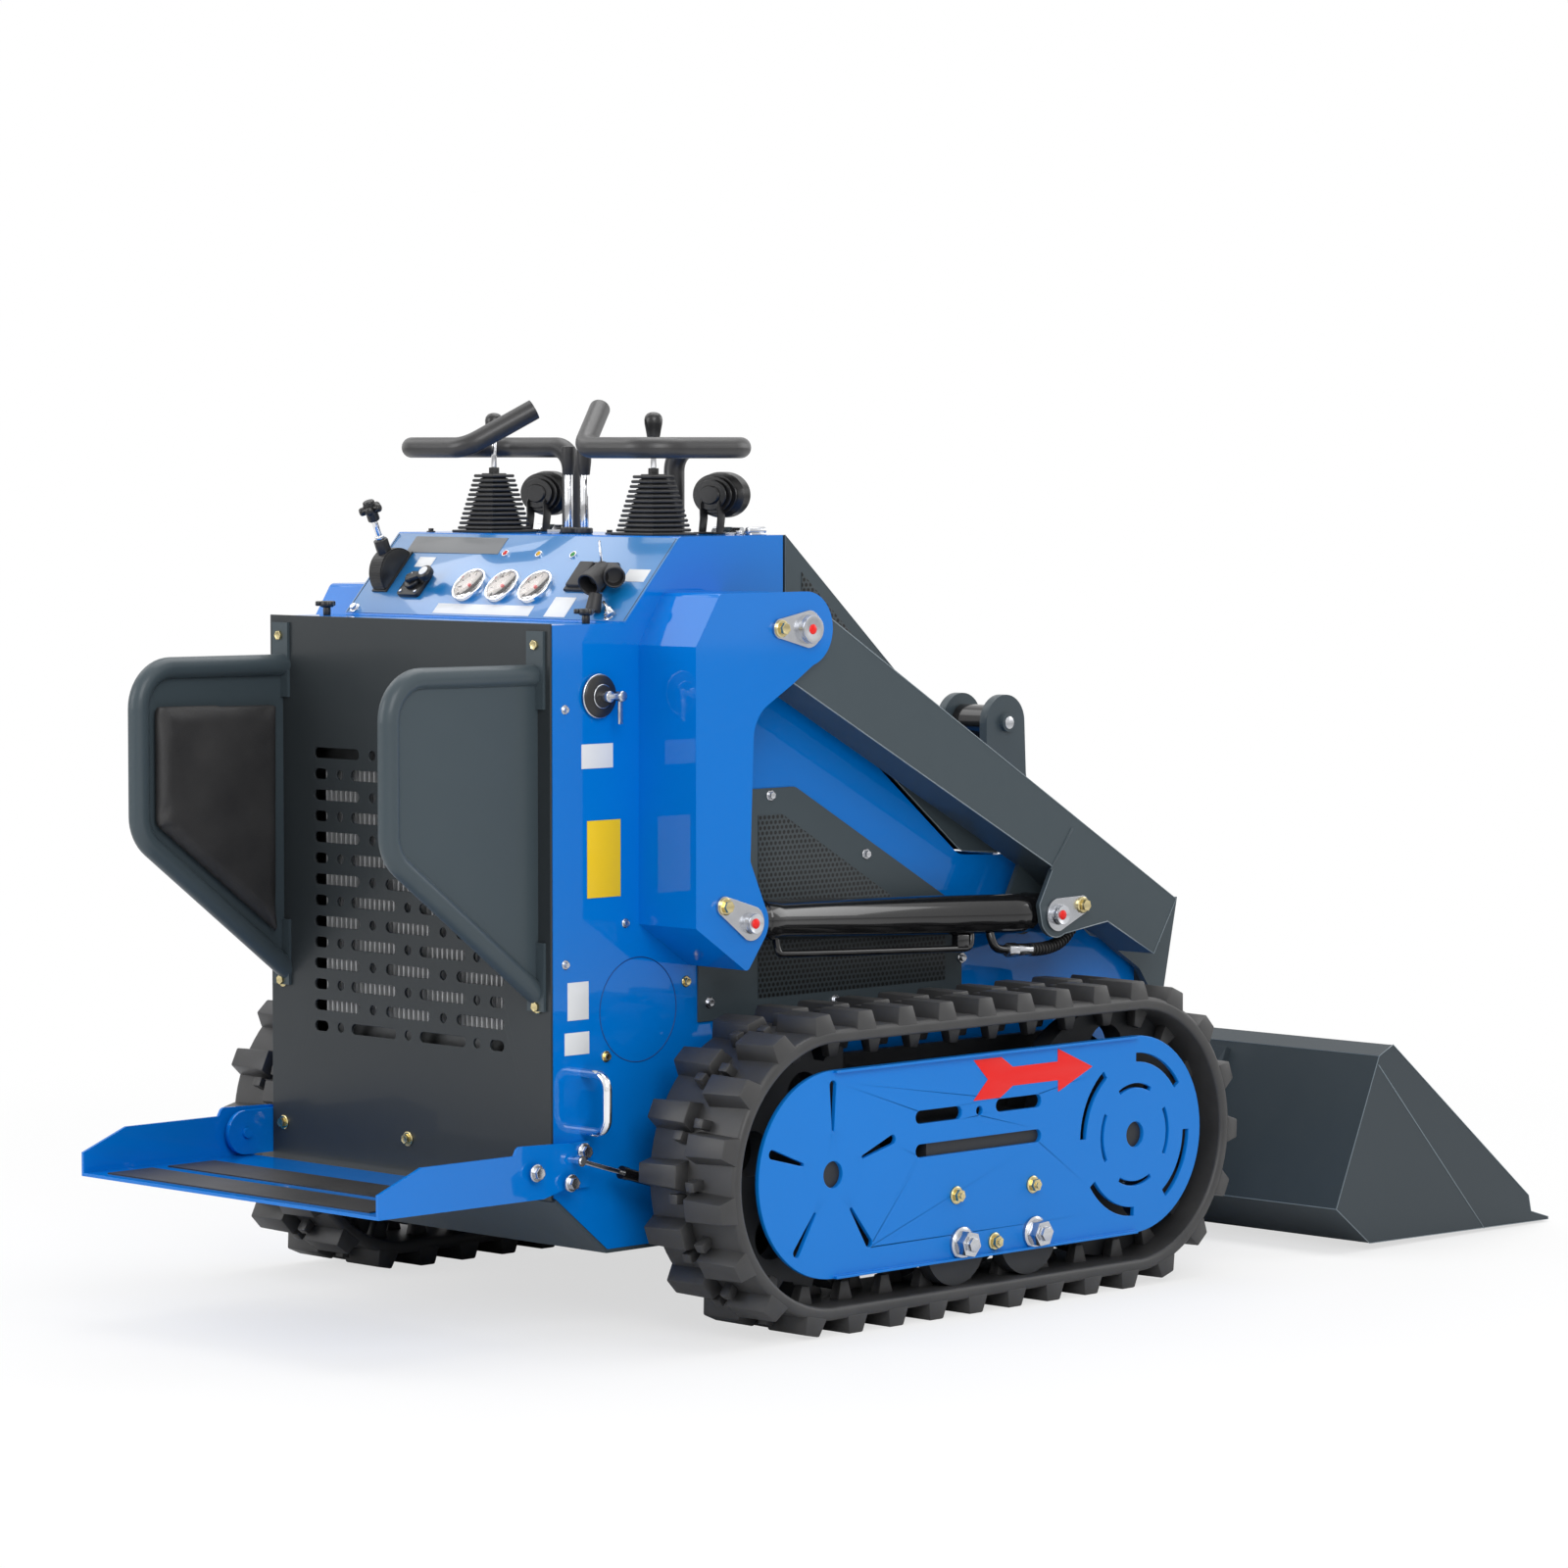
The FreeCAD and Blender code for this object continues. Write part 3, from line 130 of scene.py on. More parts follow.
def makeStage():
    bpy.ops.mesh.primitive_plane_add(size=floorLook["size"], location=(0, 0, 0))
    floor = bpy.context.object
    floor.name = "floor"
    material = bpy.data.materials.new("paleFloor")
    material.use_nodes = True
    tree = material.node_tree
    shader = tree.nodes["Principled BSDF"]
    shader.inputs["Base Color"].default_value = (floorLook["colour"],) * 3 + (1,)
    shader.inputs["Roughness"].default_value = 0.7
    shader.inputs["Specular IOR Level"].default_value = 0.2
    # away from the machine the floor turns to the plain white of the background
    far = addNode(tree, "VectorMath", [(objectPlace(tree), 0)])
    far.operation = "LENGTH"
    reach = {"From Min": floorLook["near"], "From Max": floorLook["fade"], "To Min": floorLook["shown"]}
    ramp = addNode(tree, "MapRange", [(far.outputs["Value"], "Value")], **reach)
    ramp.interpolation_type = "SMOOTHSTEP"
    seen = tree.nodes.new("ShaderNodeLightPath").outputs["Is Camera Ray"]
    share = mathNode(tree, "MULTIPLY", seen, ramp.outputs["Result"])
    glow = tree.nodes.new("ShaderNodeEmission").outputs[0]
    mix = addNode(tree, "MixShader", [(share, "Fac"), (shader.outputs[0], 1), (glow, 2)])
    tree.links.new(mix.outputs[0], tree.nodes["Material Output"].inputs["Surface"])
    floor.data.materials.append(material)


def makeWorld():
    world = bpy.data.worlds.new("studio")
    bpy.context.scene.world = world
    world.use_nodes = True
    tree = world.node_tree
    lit, shown = tree.nodes["Background"], tree.nodes.new("ShaderNodeBackground")
    for background, strength in ((lit, worldLook["light"]), (shown, worldLook["shown"])):
        background.inputs["Strength"].default_value = strength
        background.inputs["Color"].default_value = (1, 1, 1, 1)
    rays = tree.nodes.new("ShaderNodeLightPath").outputs
    either = mathNode(tree, "MAXIMUM", rays["Is Camera Ray"], rays["Is Glossy Ray"])
    seen = mathNode(tree, "MAXIMUM", either, rays["Is Transmission Ray"])
    mix = addNode(tree, "MixShader", [(seen, "Fac"), (lit.outputs[0], 1), (shown.outputs[0], 2)])
    tree.links.new(mix.outputs[0], tree.nodes["World Output"].inputs["Surface"])


def makeLamps():
    for name, place, target, size, watts in lampTable:
        lamp = bpy.data.objects.new(name, bpy.data.lights.new(name, "AREA"))
        lamp.data.size = size
        lamp.data.energy = watts
        aim(lamp, place, target)
        bpy.context.scene.collection.objects.link(lamp)


bpy.context.scene.view_settings.view_transform = "Standard"
makeCamera()
makeStage()
makeWorld()
makeLamps()
print("stage ready")


# Shader groups that the finishes share

surfaceOutputs = [("Colour", "Color"), ("Roughness", "Float"), ("Normal", "Vector")]
dustColour = {"paint": (0.36, 0.35, 0.33, 1), "rubber": (0.16, 0.155, 0.15, 1)}


def newGroup(name, inputs, outputs):
    group = bpy.data.node_groups.new(name, "ShaderNodeTree")
    for label, kind, value in inputs:
        socket = group.interface.new_socket(label, in_out="INPUT", socket_type=f"NodeSocket{kind}")
        socket.default_value = value
    for label, kind in outputs:
        group.interface.new_socket(label, in_out="OUTPUT", socket_type=f"NodeSocket{kind}")
    return group, group.nodes.new("NodeGroupInput").outputs, group.nodes.new("NodeGroupOutput")


def closeGroup(group, out, **values):
    for label, value in values.items():
        group.links.new(value, out.inputs[label])
    return group


def makePaintFilm():
    # sprayed paint: slight cloudiness of the colour and an orange-peel surface
    group, ins, out = newGroup("paintFilm", [
        ("Colour", "Color", (0.5, 0.5, 0.5, 1)), ("Cloud", "Float", 0.08), ("Roughness", "Float", 0.3),
        ("Peel", "Float", 0.1), ("Dust", "Float", 0.1)], surfaceOutputs)
    place = objectPlace(group)
    fine = noise(group, place, 26.0, 4.0)
    bright = mathNode(group, "ADD", swing(group, noise(group, place, 3.2, 3.0), ins["Cloud"]), 1.0)
    toned = addNode(group, "HueSaturation", [(ins["Colour"], "Color"), (bright, "Value")])
    # fine dust gathers on what faces up and in faint streaks
    up = addNode(group, "SeparateXYZ", [(group.nodes.new("ShaderNodeNewGeometry").outputs["Normal"], 0)])
    lying = mathNode(group, "POWER", mathNode(group, "MAXIMUM", up.outputs["Z"], 0.0), 2.0)
    share = mathNode(group, "ADD", mathNode(group, "MULTIPLY", lying, 0.8), 0.2)
    dust = mathNode(group, "MULTIPLY", mathNode(group, "MULTIPLY", fine, share), ins["Dust"])
    colour = mixColour(group, dust, toned.outputs[0], dustColour["paint"])
    rough = mathNode(group, "ADD", ins["Roughness"], mathNode(group, "MULTIPLY", dust, 0.5))
    rough = mathNode(group, "ADD", rough, swing(group, fine, 0.06))
    peel = relief(group, noise(group, place, 420.0, 1.5), ins["Peel"], 0.0006)
    return closeGroup(group, out, Colour=colour, Roughness=rough, Normal=peel)


def makeMouldedSkin():
    # rubber and moulded plastic: fine grain, faint mould lines and dull dust
    group, ins, out = newGroup("mouldedSkin", [
        ("Colour", "Color", (0.02, 0.02, 0.02, 1)), ("Grain", "Float", 900.0), ("Depth", "Float", 0.2),
        ("Roughness", "Float", 0.6), ("Dust", "Float", 0.1)], surfaceOutputs)
    place = objectPlace(group)
    grain = addNode(group, "TexVoronoi", [(place, "Vector"), (ins["Grain"], "Scale")])
    soft = noise(group, place, 14.0, 5.0)
    blotch = mathNode(group, "MULTIPLY", soft, ins["Dust"])
    colour = mixColour(group, blotch, ins["Colour"], dustColour["rubber"])
    rough = mathNode(group, "ADD", ins["Roughness"], swing(group, soft, 0.2))
    bump = relief(group, grain.outputs["Distance"], ins["Depth"], 0.0005)
    return closeGroup(group, out, Colour=colour, Roughness=rough, Normal=bump)


def makeMetalGrain():
    # plated or brushed metal: fine lines and soft stains
    group, ins, out = newGroup("metalGrain", [
        ("Colour", "Color", (0.7, 0.7, 0.7, 1)), ("Stain", "Color", (0.4, 0.4, 0.4, 1)),
        ("Staining", "Float", 0.3), ("Roughness", "Float", 0.25), ("Lines", "Float", 0.05)], surfaceOutputs)
    place = objectPlace(group)
    stretched = addNode(group, "Mapping", [(place, "Vector")], Scale=(900, 900, 60))
    lines = noise(group, stretched.outputs[0], 1.0, 2.0)
    share = mathNode(group, "MULTIPLY", noise(group, place, 38.0, 3.0), ins["Staining"])
    colour = mixColour(group, share, ins["Colour"], ins["Stain"])
    rough = mathNode(group, "ADD", ins["Roughness"], swing(group, lines, ins["Lines"]))
    normal = relief(group, lines, ins["Lines"], 0.0003)
    return closeGroup(group, out, Colour=colour, Roughness=rough, Normal=normal)


def makePunchedSheet():
    # a mask of round holes in staggered rows, along one direction and up another
    group, ins, out = newGroup("punchedSheet", [
        ("Along", "Float", 0.0), ("Up", "Float", 0.0), ("Pitch", "Float", 0.009), ("Hole", "Float", 0.3)],
        [("Mask", "Float")])
    rowShare = 0.866
    row = mathNode(group, "DIVIDE", ins["Up"], mathNode(group, "MULTIPLY", ins["Pitch"], rowShare))
    number = mathNode(group, "ABSOLUTE", mathNode(group, "FLOOR", row))
    shift = mathNode(group, "MULTIPLY", mathNode(group, "MODULO", number, 2.0), 0.5)
    column = mathNode(group, "ADD", mathNode(group, "DIVIDE", ins["Along"], ins["Pitch"]), shift)
    across = mathNode(group, "SUBTRACT", mathNode(group, "FRACT", column), 0.5)
    up = swing(group, mathNode(group, "FRACT", row), rowShare)
    squares = [mathNode(group, "MULTIPLY", value, value) for value in (across, up)]
    far = mathNode(group, "SQRT", mathNode(group, "ADD", *squares))
    return closeGroup(group, out, Mask=mathNode(group, "LESS_THAN", far, ins["Hole"]))


paintFilm = makePaintFilm()
mouldedSkin = makeMouldedSkin()
metalGrain = makeMetalGrain()
punchedSheet = makePunchedSheet()


def useGroup(tree, group, **values):
    made = tree.nodes.new("ShaderNodeGroup")
    made.node_tree = group
    for label, value in values.items():
        made.inputs[label].default_value = value
    return made


def newFinish(name, group, values, **shaderValues):
    material = bpy.data.materials.new(name)
    material.use_nodes = True
    tree = material.node_tree
    shader = tree.nodes["Principled BSDF"]
    surface = useGroup(tree, group, **values)
    for source, target in (("Colour", "Base Color"), ("Roughness", "Roughness"), ("Normal", "Normal")):
        tree.links.new(surface.outputs[source], shader.inputs[target])
    for label, value in shaderValues.items():
        shader.inputs[label.replace("_", " ")].default_value = value
    return material


def colourOf(red, green, blue):
    # 0-255 screen values to the linear values that shaders use
    return tuple((value / 255 / 12.92) if value <= 10 else ((value / 255 + 0.055) / 1.055) ** 2.4
                 for value in (red, green, blue)) + (1,)


def paintFinish(name, colour, roughness, peel, dust, coat, base=0.3):
    values = {"Colour": colourOf(*colour), "Cloud": 0.08, "Roughness": roughness, "Peel": peel, "Dust": dust}
    return newFinish(name, paintFilm, values, Coat_Weight=coat, Coat_Roughness=0.04, IOR=1.45,
                     Specular_IOR_Level=base)


def mouldedFinish(name, colour, roughness, grain, depth, dust):
    values = {"Colour": colourOf(*colour), "Grain": grain, "Depth": depth, "Roughness": roughness,
              "Dust": dust}
    return newFinish(name, mouldedSkin, values, IOR=1.48)


def metalFinish(name, colour, stain, staining, roughness, lines):
    values = {"Colour": colourOf(*colour), "Stain": colourOf(*stain), "Staining": staining,
              "Roughness": roughness, "Lines": lines}
    return newFinish(name, metalGrain, values, Metallic=1.0)


def lensFinish(name, colour, clear=0.4, roughness=0.12):
    # coloured or clear glass with faint smears
    values = {"Colour": colourOf(*colour), "Cloud": 0.03, "Roughness": roughness, "Peel": 0.0, "Dust": 0.01}
    return newFinish(name, paintFilm, values, Transmission_Weight=clear, IOR=1.46)


def punchedFinish(name, colour, pitch, hole):
    # painted sheet with rows of small holes, drawn along X and Z, near-black inside as painted shade
    values = {"Colour": colourOf(*colour), "Cloud": 0.06, "Roughness": 0.42, "Peel": 0.08, "Dust": 0.05}
    material = newFinish(name, paintFilm, values, Specular_IOR_Level=0.3)
    tree = material.node_tree
    shader = tree.nodes["Principled BSDF"]
    axes = addNode(tree, "SeparateXYZ", [(objectPlace(tree), 0)])
    holes = useGroup(tree, punchedSheet, Pitch=pitch, Hole=hole)
    tree.links.new(axes.outputs["X"], holes.inputs["Along"])
    tree.links.new(axes.outputs["Z"], holes.inputs["Up"])
    mask = holes.outputs["Mask"]
    painted, film = (shader.inputs[label].links[0].from_socket for label in ("Base Color", "Normal"))
    # painted shade: the holes take a near-black colour for the dark behind them, and a bump presses them in
    tree.links.new(mixColour(tree, mask, painted, colourOf(9, 10, 11)), shader.inputs["Base Color"])
    edge = addNode(tree, "Bump", [(mathNode(tree, "SUBTRACT", 1.0, mask), "Height"), (film, "Normal")],
                   Strength=0.7, Distance=0.001)
    tree.links.new(edge.outputs[0], shader.inputs["Normal"])
    return material


finishTable = {
    paintFinish: {  # screen colour, roughness, peel, dust, coat, reflection where it isn't 0.3
        "bluePaint": ((0, 114, 204), 0.3, 0.03, 0.01, 0.75, 0.0),
        "consoleBlue": ((4, 114, 180), 0.3, 0.03, 0.01, 1.0, 1.0),
        "guardBlue": ((0, 118, 206), 0.36, 0.05, 0.03, 0.06),
        # a darker copy of the body blue: painted shade for the groove round each cover
        "blueGrooveShade": ((0, 66, 132), 0.4, 0.03, 0.1, 0.1),
        # light grey for thin beads along cut edges: painted highlight
        "edgeHighlightGrey": ((112, 124, 132), 0.3, 0.05, 0.05, 0.4),
        "finAlloy": ((186, 188, 190), 0.35, 0.02, 0.1, 0.2),
        "greyPaint": ((62, 73, 79), 0.38, 0.10, 0.05, 0.10),
        "bucketGrey": ((52, 61, 67), 0.45, 0.12, 0.05, 0.05),
        "panelPaint": ((46, 51, 54), 0.34, 0.06, 0.03, 0.10),
        "greyLabel": ((120, 122, 124), 0.4, 0.02, 0.02, 0.1),
        "barrelBlack": ((16, 16, 18), 0.18, 0.03, 0.03, 0.6),
        "darkSteel": ((44, 46, 49), 0.5, 0.2, 0.15, 0.0),
        "castIron": ((60, 61, 62), 0.65, 0.5, 0.25, 0.0),
        "redPaint": ((232, 30, 26), 0.4, 0.03, 0.02, 0.1),
        "yellowPlate": ((236, 196, 20), 0.35, 0.02, 0.02, 0.2),
        "whitePlate": ((222, 224, 226), 0.35, 0.02, 0.02, 0.2),
        "gaugeFace": ((214, 206, 200), 0.5, 0.01, 0.03, 0.05),
    },
    mouldedFinish: {  # screen colour, roughness, grain, depth, dust
        "trackRubber": ((33, 34, 36), 0.46, 700.0, 0.25, 0.28),
        "blackRubber": ((22, 22, 24), 0.5, 900.0, 0.2, 0.15),
        "gripVinyl": ((34, 34, 36), 0.34, 1400.0, 0.15, 0.2),
        "blackPlastic": ((20, 20, 21), 0.32, 1200.0, 0.12, 0.1),
        "cushionSkin": ((28, 28, 30), 0.55, 520.0, 0.5, 0.2),
    },
    metalFinish: {  # screen colour, stain colour, staining, roughness, lines
        "chrome": ((232, 233, 236), (180, 182, 186), 0.15, 0.08, 0.02),
        "zincPlate": ((206, 208, 212), (150, 152, 158), 0.5, 0.24, 0.08),
        "zincYellow": ((216, 202, 148), (186, 170, 140), 0.6, 0.22, 0.06),
        "radiatorCore": ((96, 98, 100), (50, 50, 50), 0.6, 0.4, 0.1),
    },
    lensFinish: {  # screen colour, and where it is clear glass, clearness and roughness
        "redLens": ((220, 24, 20),), "yellowLens": ((232, 180, 20),), "greenLens": ((20, 150, 60),),
        "clearGlass": ((255, 255, 255), 1.0, 0.02),
    },
    punchedFinish: {"punchedGrey": ((58, 66, 70), 0.0092, 0.33)},  # screen colour, pitch, hole
}
finishes = {name: make(name, *values)
            for make, table in finishTable.items() for name, values in table.items()}

nodeFinish = {
    "trackRubber": ["track_right", "track_left"],
    "darkSteel": ["sprockets", "idlers", "track_rollers", "track_frames"],
    "guardBlue": ["track_guards"],
    "bluePaint": ["body_shell", "towers", "platform", "platform_brackets"],
    "greyPaint": ["belly_plate", "arm_right", "arm_left", "boom_front", "hip_pad_frames", "hood",
                  "side_screens"],
    "bucketGrey": ["bucket", "bucket_coupler"],
    "panelPaint": ["rear_panel"],
    "radiatorCore": ["radiator"],
    "castIron": ["engine_block"],
    "zincPlate": ["hood_hinges", "tower_pins", "arm_pins"],
    "barrelBlack": ["lift_barrel_right", "lift_barrel_left", "tilt_barrel", "gas_tube_right",
                    "gas_tube_left"],
    "chrome": ["lift_rod_right", "lift_rod_left", "tilt_rod", "gas_rod_right", "gas_rod_left", "grab_handles",
               "drive_levers", "console_instruments"],
    "blackRubber": ["platform_grips", "joysticks"],
    "cushionSkin": ["hip_cushions"],
    "gripVinyl": ["hand_bars"],
    "blackPlastic": ["work_lamps", "throttle_lever", "battery_switch"],
}
for finish, names in nodeFinish.items():
    for name in names:
        nodes[name].data.materials.clear()
        nodes[name].data.materials.append(finishes[finish])
print("finishes ready")


# Modelling helpers: sizes in millimetres go into meshes in metres, and so do the places

bothSides = (("right", -1), ("left", 1))


def at(x, y, z):
    return Matrix.Translation(spot(x, y, z))


def deselectAll():
    if bpy.context.mode != "OBJECT":
        bpy.ops.object.mode_set(mode="OBJECT")
    bpy.ops.object.select_all(action="DESELECT")


def leaveEdit():
    bpy.ops.object.mode_set(mode="OBJECT")


def pickIn(mode, items, test):
    # edit mode with the faces or points picked that pass the test
    bpy.ops.object.mode_set(mode="EDIT")
    bpy.ops.mesh.select_mode(type=mode)
    bpy.ops.mesh.select_all(action="DESELECT")
    leaveEdit()
    for item in items:
        item.select = test(item)
    bpy.ops.object.mode_set(mode="EDIT")


def pickFaces(test):
    pickIn("FACE", bpy.context.object.data.polygons, lambda face: test(face.center, face.normal))


def pickPoints(test):
    pickIn("VERT", bpy.context.object.data.vertices, lambda point: test(point.co))


def insetTop(width, rise=0):
    # narrows the top face of the active piece and lifts it, and stays in edit mode
    pickFaces(lambda centre, normal: normal.z > 0.9)
    bpy.ops.mesh.inset(thickness=width / 1000)
    if rise:
        bpy.ops.transform.translate(value=(0, 0, rise / 1000))


def pushFaces(rise):
    bpy.ops.mesh.extrude_region_move(TRANSFORM_OT_translate={"value": (0, 0, rise / 1000)})


def turnOutwards(merge=0):
    # merges points of the active piece that lie close, and turns its faces outwards
    bpy.ops.object.mode_set(mode="EDIT")
    bpy.ops.mesh.select_all(action="SELECT")
    if merge:
        bpy.ops.mesh.remove_doubles(threshold=merge)
    bpy.ops.mesh.normals_make_consistent(inside=False)
    leaveEdit()


def facing(place, direction, spin=0):
    # a placement whose Z axis points along the direction
    turn = Vector(direction).to_track_quat("Z", "Y").to_matrix().to_4x4()
    return Matrix.Translation(place) @ turn @ Matrix.Rotation(math.radians(spin), 4, "Z")


def activate(item):
    deselectAll()
    item.select_set(True)
    bpy.context.view_layer.objects.active = item
    return item


def linked(name, data):
    item = bpy.data.objects.new(name, data)
    bpy.context.scene.collection.objects.link(item)
    return item


def applyPlace(item=None):
    if item:
        activate(item)
    bpy.ops.object.transform_apply(location=True, rotation=True, scale=True)
    return bpy.context.object


def moved(item, matrix):
    item.matrix_world = matrix
    return applyPlace(item)


def applied(item, kind, **settings):
    # a modifier with these settings, applied to the active piece
    modifier = item.modifiers.new(kind.lower(), kind)
    for key, value in settings.items():
        setattr(modifier, key, value)
    bpy.ops.object.modifier_apply(modifier=modifier.name)
    return item


def addBevel(item, width, segments, angle):
    bevel = item.modifiers.new("edges", "BEVEL")
    bevel.width = width / 1000
    bevel.segments = segments
    bevel.limit_method = "ANGLE"
    bevel.angle_limit = math.radians(angle)
    return bevel


def roundEdges(item, width, segments=2, angle=30):
    activate(item)
    bpy.ops.object.modifier_apply(modifier=addBevel(item, width, segments, angle).name)
    return item


def addBlock(size, matrix, edge=0, segments=2):
    deselectAll()
    bpy.ops.mesh.primitive_cube_add(size=1, scale=[value / 1000 for value in size])
    block = applyPlace()
    if edge:
        roundEdges(block, edge, segments)
    return moved(block, matrix)


def addDisc(radius, height, low=0, corners=40):
    # an upright cylinder round Z, from its foot
    deselectAll()
    bpy.ops.mesh.primitive_cylinder_add(vertices=corners, radius=radius / 1000, depth=height / 1000,
                                        location=(0, 0, (low + height / 2) / 1000))
    return applyPlace()


def addBall(radius, middle, flat, corners):
    deselectAll()
    bpy.ops.mesh.primitive_uv_sphere_add(segments=corners, ring_count=corners // 2, radius=radius / 1000,
                                         location=(0, 0, middle / 1000), scale=(1, 1, flat))
    return applyPlace()


def addRod(start, end, radius, corners=32, edge=0, segments=2):
    # start and end in metres
    deselectAll()
    along = Vector(end) - Vector(start)
    bpy.ops.mesh.primitive_cylinder_add(vertices=corners, radius=radius / 1000, depth=along.length)
    rod = bpy.context.object
    if edge:
        roundEdges(rod, edge, segments, 40)
    return moved(rod, facing((Vector(start) + Vector(end)) / 2, along))


def addRing(place, direction, radius, wire, corners=48, around=12):
    deselectAll()
    bpy.ops.mesh.primitive_torus_add(major_radius=radius / 1000, minor_radius=wire / 1000,
                                     major_segments=corners, minor_segments=around)
    return moved(bpy.context.object, facing(place, direction))


def addPlate(points, thickness, matrix, edge=0):
    # a flat curve along the points, (x, y), that stands on the placement's XY plane
    curve = bpy.data.curves.new("plate", "CURVE")
    curve.dimensions = "2D"
    curve.fill_mode = "BOTH"
    spline = curve.splines.new("POLY")
    spline.points.add(len(points) - 1)
    for point, (x, y) in zip(spline.points, points):
        point.co = (x / 1000, y / 1000, 0, 1)
    spline.use_cyclic_u = True
    curve.extrude = (thickness / 2 - edge) / 1000
    curve.bevel_depth = edge / 1000
    curve.bevel_resolution = 1
    curve.offset = -edge / 1000
    activate(linked("plate", curve))
    bpy.ops.object.convert(target="MESH")
    plate = moved(bpy.context.object, matrix @ Matrix.Translation((0, 0, thickness / 2000)))
    turnOutwards(0.00001)
    return plate


def newLine(name, points, fineness):
    # a smooth curve along the points, in metres
    curve = bpy.data.curves.new(name, "CURVE")
    curve.dimensions = "3D"
    curve.resolution_u = fineness
    spline = curve.splines.new("NURBS")
    spline.points.add(len(points) - 1)
    for point, place in zip(spline.points, points):
        point.co = (*place, 1)
    spline.order_u = 3
    spline.use_endpoint_u = True
    return curve, linked(name, curve)


def addHose(points, radius):
    curve, hose = newLine("hose", points, 10)
    curve.bevel_depth = radius / 1000
    curve.bevel_resolution = 4
    curve.use_fill_caps = True
    activate(hose)
    bpy.ops.object.convert(target="MESH")
    turnOutwards()
    return bpy.context.object


def turnedPiece(profile, steps):
    # a shape spun round Z from its outline of radius and height
    mesh = bpy.data.meshes.new("turned")
    mesh.from_pydata([(radius / 1000, 0, height / 1000) for radius, height in profile],
                     [(index, index + 1) for index in range(len(profile) - 1)], [])
    piece = activate(linked("turned", mesh))
    applied(piece, "SCREW", steps=steps, render_steps=steps, use_merge_vertices=True, merge_threshold=0.00002)
    turnOutwards(0.00002)
    return piece


def circlePoints(x, y, radius, count, start, sweep):
    turns = [math.radians(start + sweep * number / (count - 1)) for number in range(count)]
    return [(x + radius * math.cos(turn), y + radius * math.sin(turn)) for turn in turns]


def joined(items):
    deselectAll()
    for item in items:
        item.select_set(True)
    bpy.context.view_layer.objects.active = items[0]
    if len(items) > 1:
        bpy.ops.object.join()
    return bpy.context.object


def copied(model, places):
    # one joined mesh with a copy of the model at each placement; the model goes
    copies = []
    for place in places:
        made = model.copy()
        made.data = model.data.copy()
        bpy.context.scene.collection.objects.link(made)
        copies.append(moved(made, place))
    bpy.data.objects.remove(model)
    return joined(copies)


def finished(item, name, finish, smooth=30, body="machine", replaces=()):
    activate(item)
    item.name = name
    item.data.name = name
    item.data.materials.clear()
    item.data.materials.append(finishes[finish])
    bpy.ops.object.shade_smooth_by_angle(angle=math.radians(smooth))
    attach(item, body)
    if replaces:
        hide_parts(*replaces)
    return item


# Rubber tracks: a thick band with rounded edges, staggered lugs and guide teeth

track = {"middle": 480, "width": 180, "rear": -327, "front": 347, "hub": 240, "radius": 216, "band": 20,
         "steps": 84, "edge": 7, "lugs": 31, "lugHeight": 24, "lugRoot": 5, "lugBase": 50, "lugTop": 34,
         "lugEdge": 2.4, "groove": 12, "tooth": (0.032, 0.020, 0.030), "toothEdge": 2, "toothRow": 32,
         "toothDrop": 12}


def loopPlace(share, across, height):
    # a placement on the band's outside: X runs along the loop and Z points outwards
    length = track["front"] - track["rear"]
    arc = math.pi * track["radius"]
    run = (share % 1) * 2 * (length + arc)
    if run < length:
        x, turn = track["front"] - run, 0
    elif run < length + arc:
        x, turn = track["rear"], (run - length) / track["radius"]
    elif run < 2 * length + arc:
        x, turn = track["rear"] + run - length - arc, math.pi
    else:
        x, turn = track["front"], math.pi + (run - 2 * length - arc) / track["radius"]
    out = Matrix.Rotation(-turn, 4, "Y") @ Matrix.Translation((0, 0, (track["radius"] + height) / 1000))
    return at(x, across, track["hub"]) @ out


def makeBand(middle):
    deselectAll()
    bpy.ops.mesh.primitive_cylinder_add(
        vertices=track["steps"], radius=(track["radius"] - track["band"] / 2) / 1000,
        depth=track["width"] / 1000, end_fill_type="NOTHING",
        rotation=(math.pi / 2, math.pi / track["steps"], 0))
    band = applyPlace()
    half = (track["front"] - track["rear"]) / 2
    for direction in (1, -1):
        pickPoints(lambda place: place.x * direction > 0.0001)
        bpy.ops.transform.translate(value=(direction * half / 1000, 0, 0))
        leaveEdit()
    applied(band, "SOLIDIFY", thickness=track["band"] / 1000, offset=0)
    roundEdges(band, track["edge"], 3, 60)
    return moved(band, at((track["front"] + track["rear"]) / 2, middle, track["hub"]))


def makeLug(depth):
    # a block that narrows upwards, with a slanted outer end and a small stub at the groove
    deselectAll()
    tall = track["lugHeight"] + track["lugRoot"]
    bpy.ops.mesh.primitive_cube_add(size=1, scale=(track["lugBase"] / 1000, depth / 1000, tall / 1000))
    lug = applyPlace()
    pickFaces(lambda centre, normal: normal.z > 0.9)
    bpy.ops.transform.resize(value=(track["lugTop"] / track["lugBase"], 0.93, 1))
    bpy.ops.transform.translate(value=(0, 0.0015, 0))
    leaveEdit()
    pickFaces(lambda centre, normal: normal.y < -0.9)
    bpy.ops.transform.resize(value=(0.86, 1, 1))
    leaveEdit()
    roundEdges(lug, track["lugEdge"], 2, 25)
    stub = addBlock((15, 18, tall - 7), Matrix.Translation((0.034, depth / 2000 - 0.012, -0.003)), 2, 2)
    return moved(joined([lug, stub]), Matrix.Translation((0, 0, (tall / 2 - track["lugRoot"]) / 1000)))


def makeTooth():
    deselectAll()
    bpy.ops.mesh.primitive_cube_add(size=1, scale=track["tooth"])
    tooth = applyPlace()
    pickFaces(lambda centre, normal: normal.z < -0.9)
    bpy.ops.transform.resize(value=(0.5, 0.8, 1))
    leaveEdit()
    return roundEdges(tooth, track["toothEdge"], 2, 25)


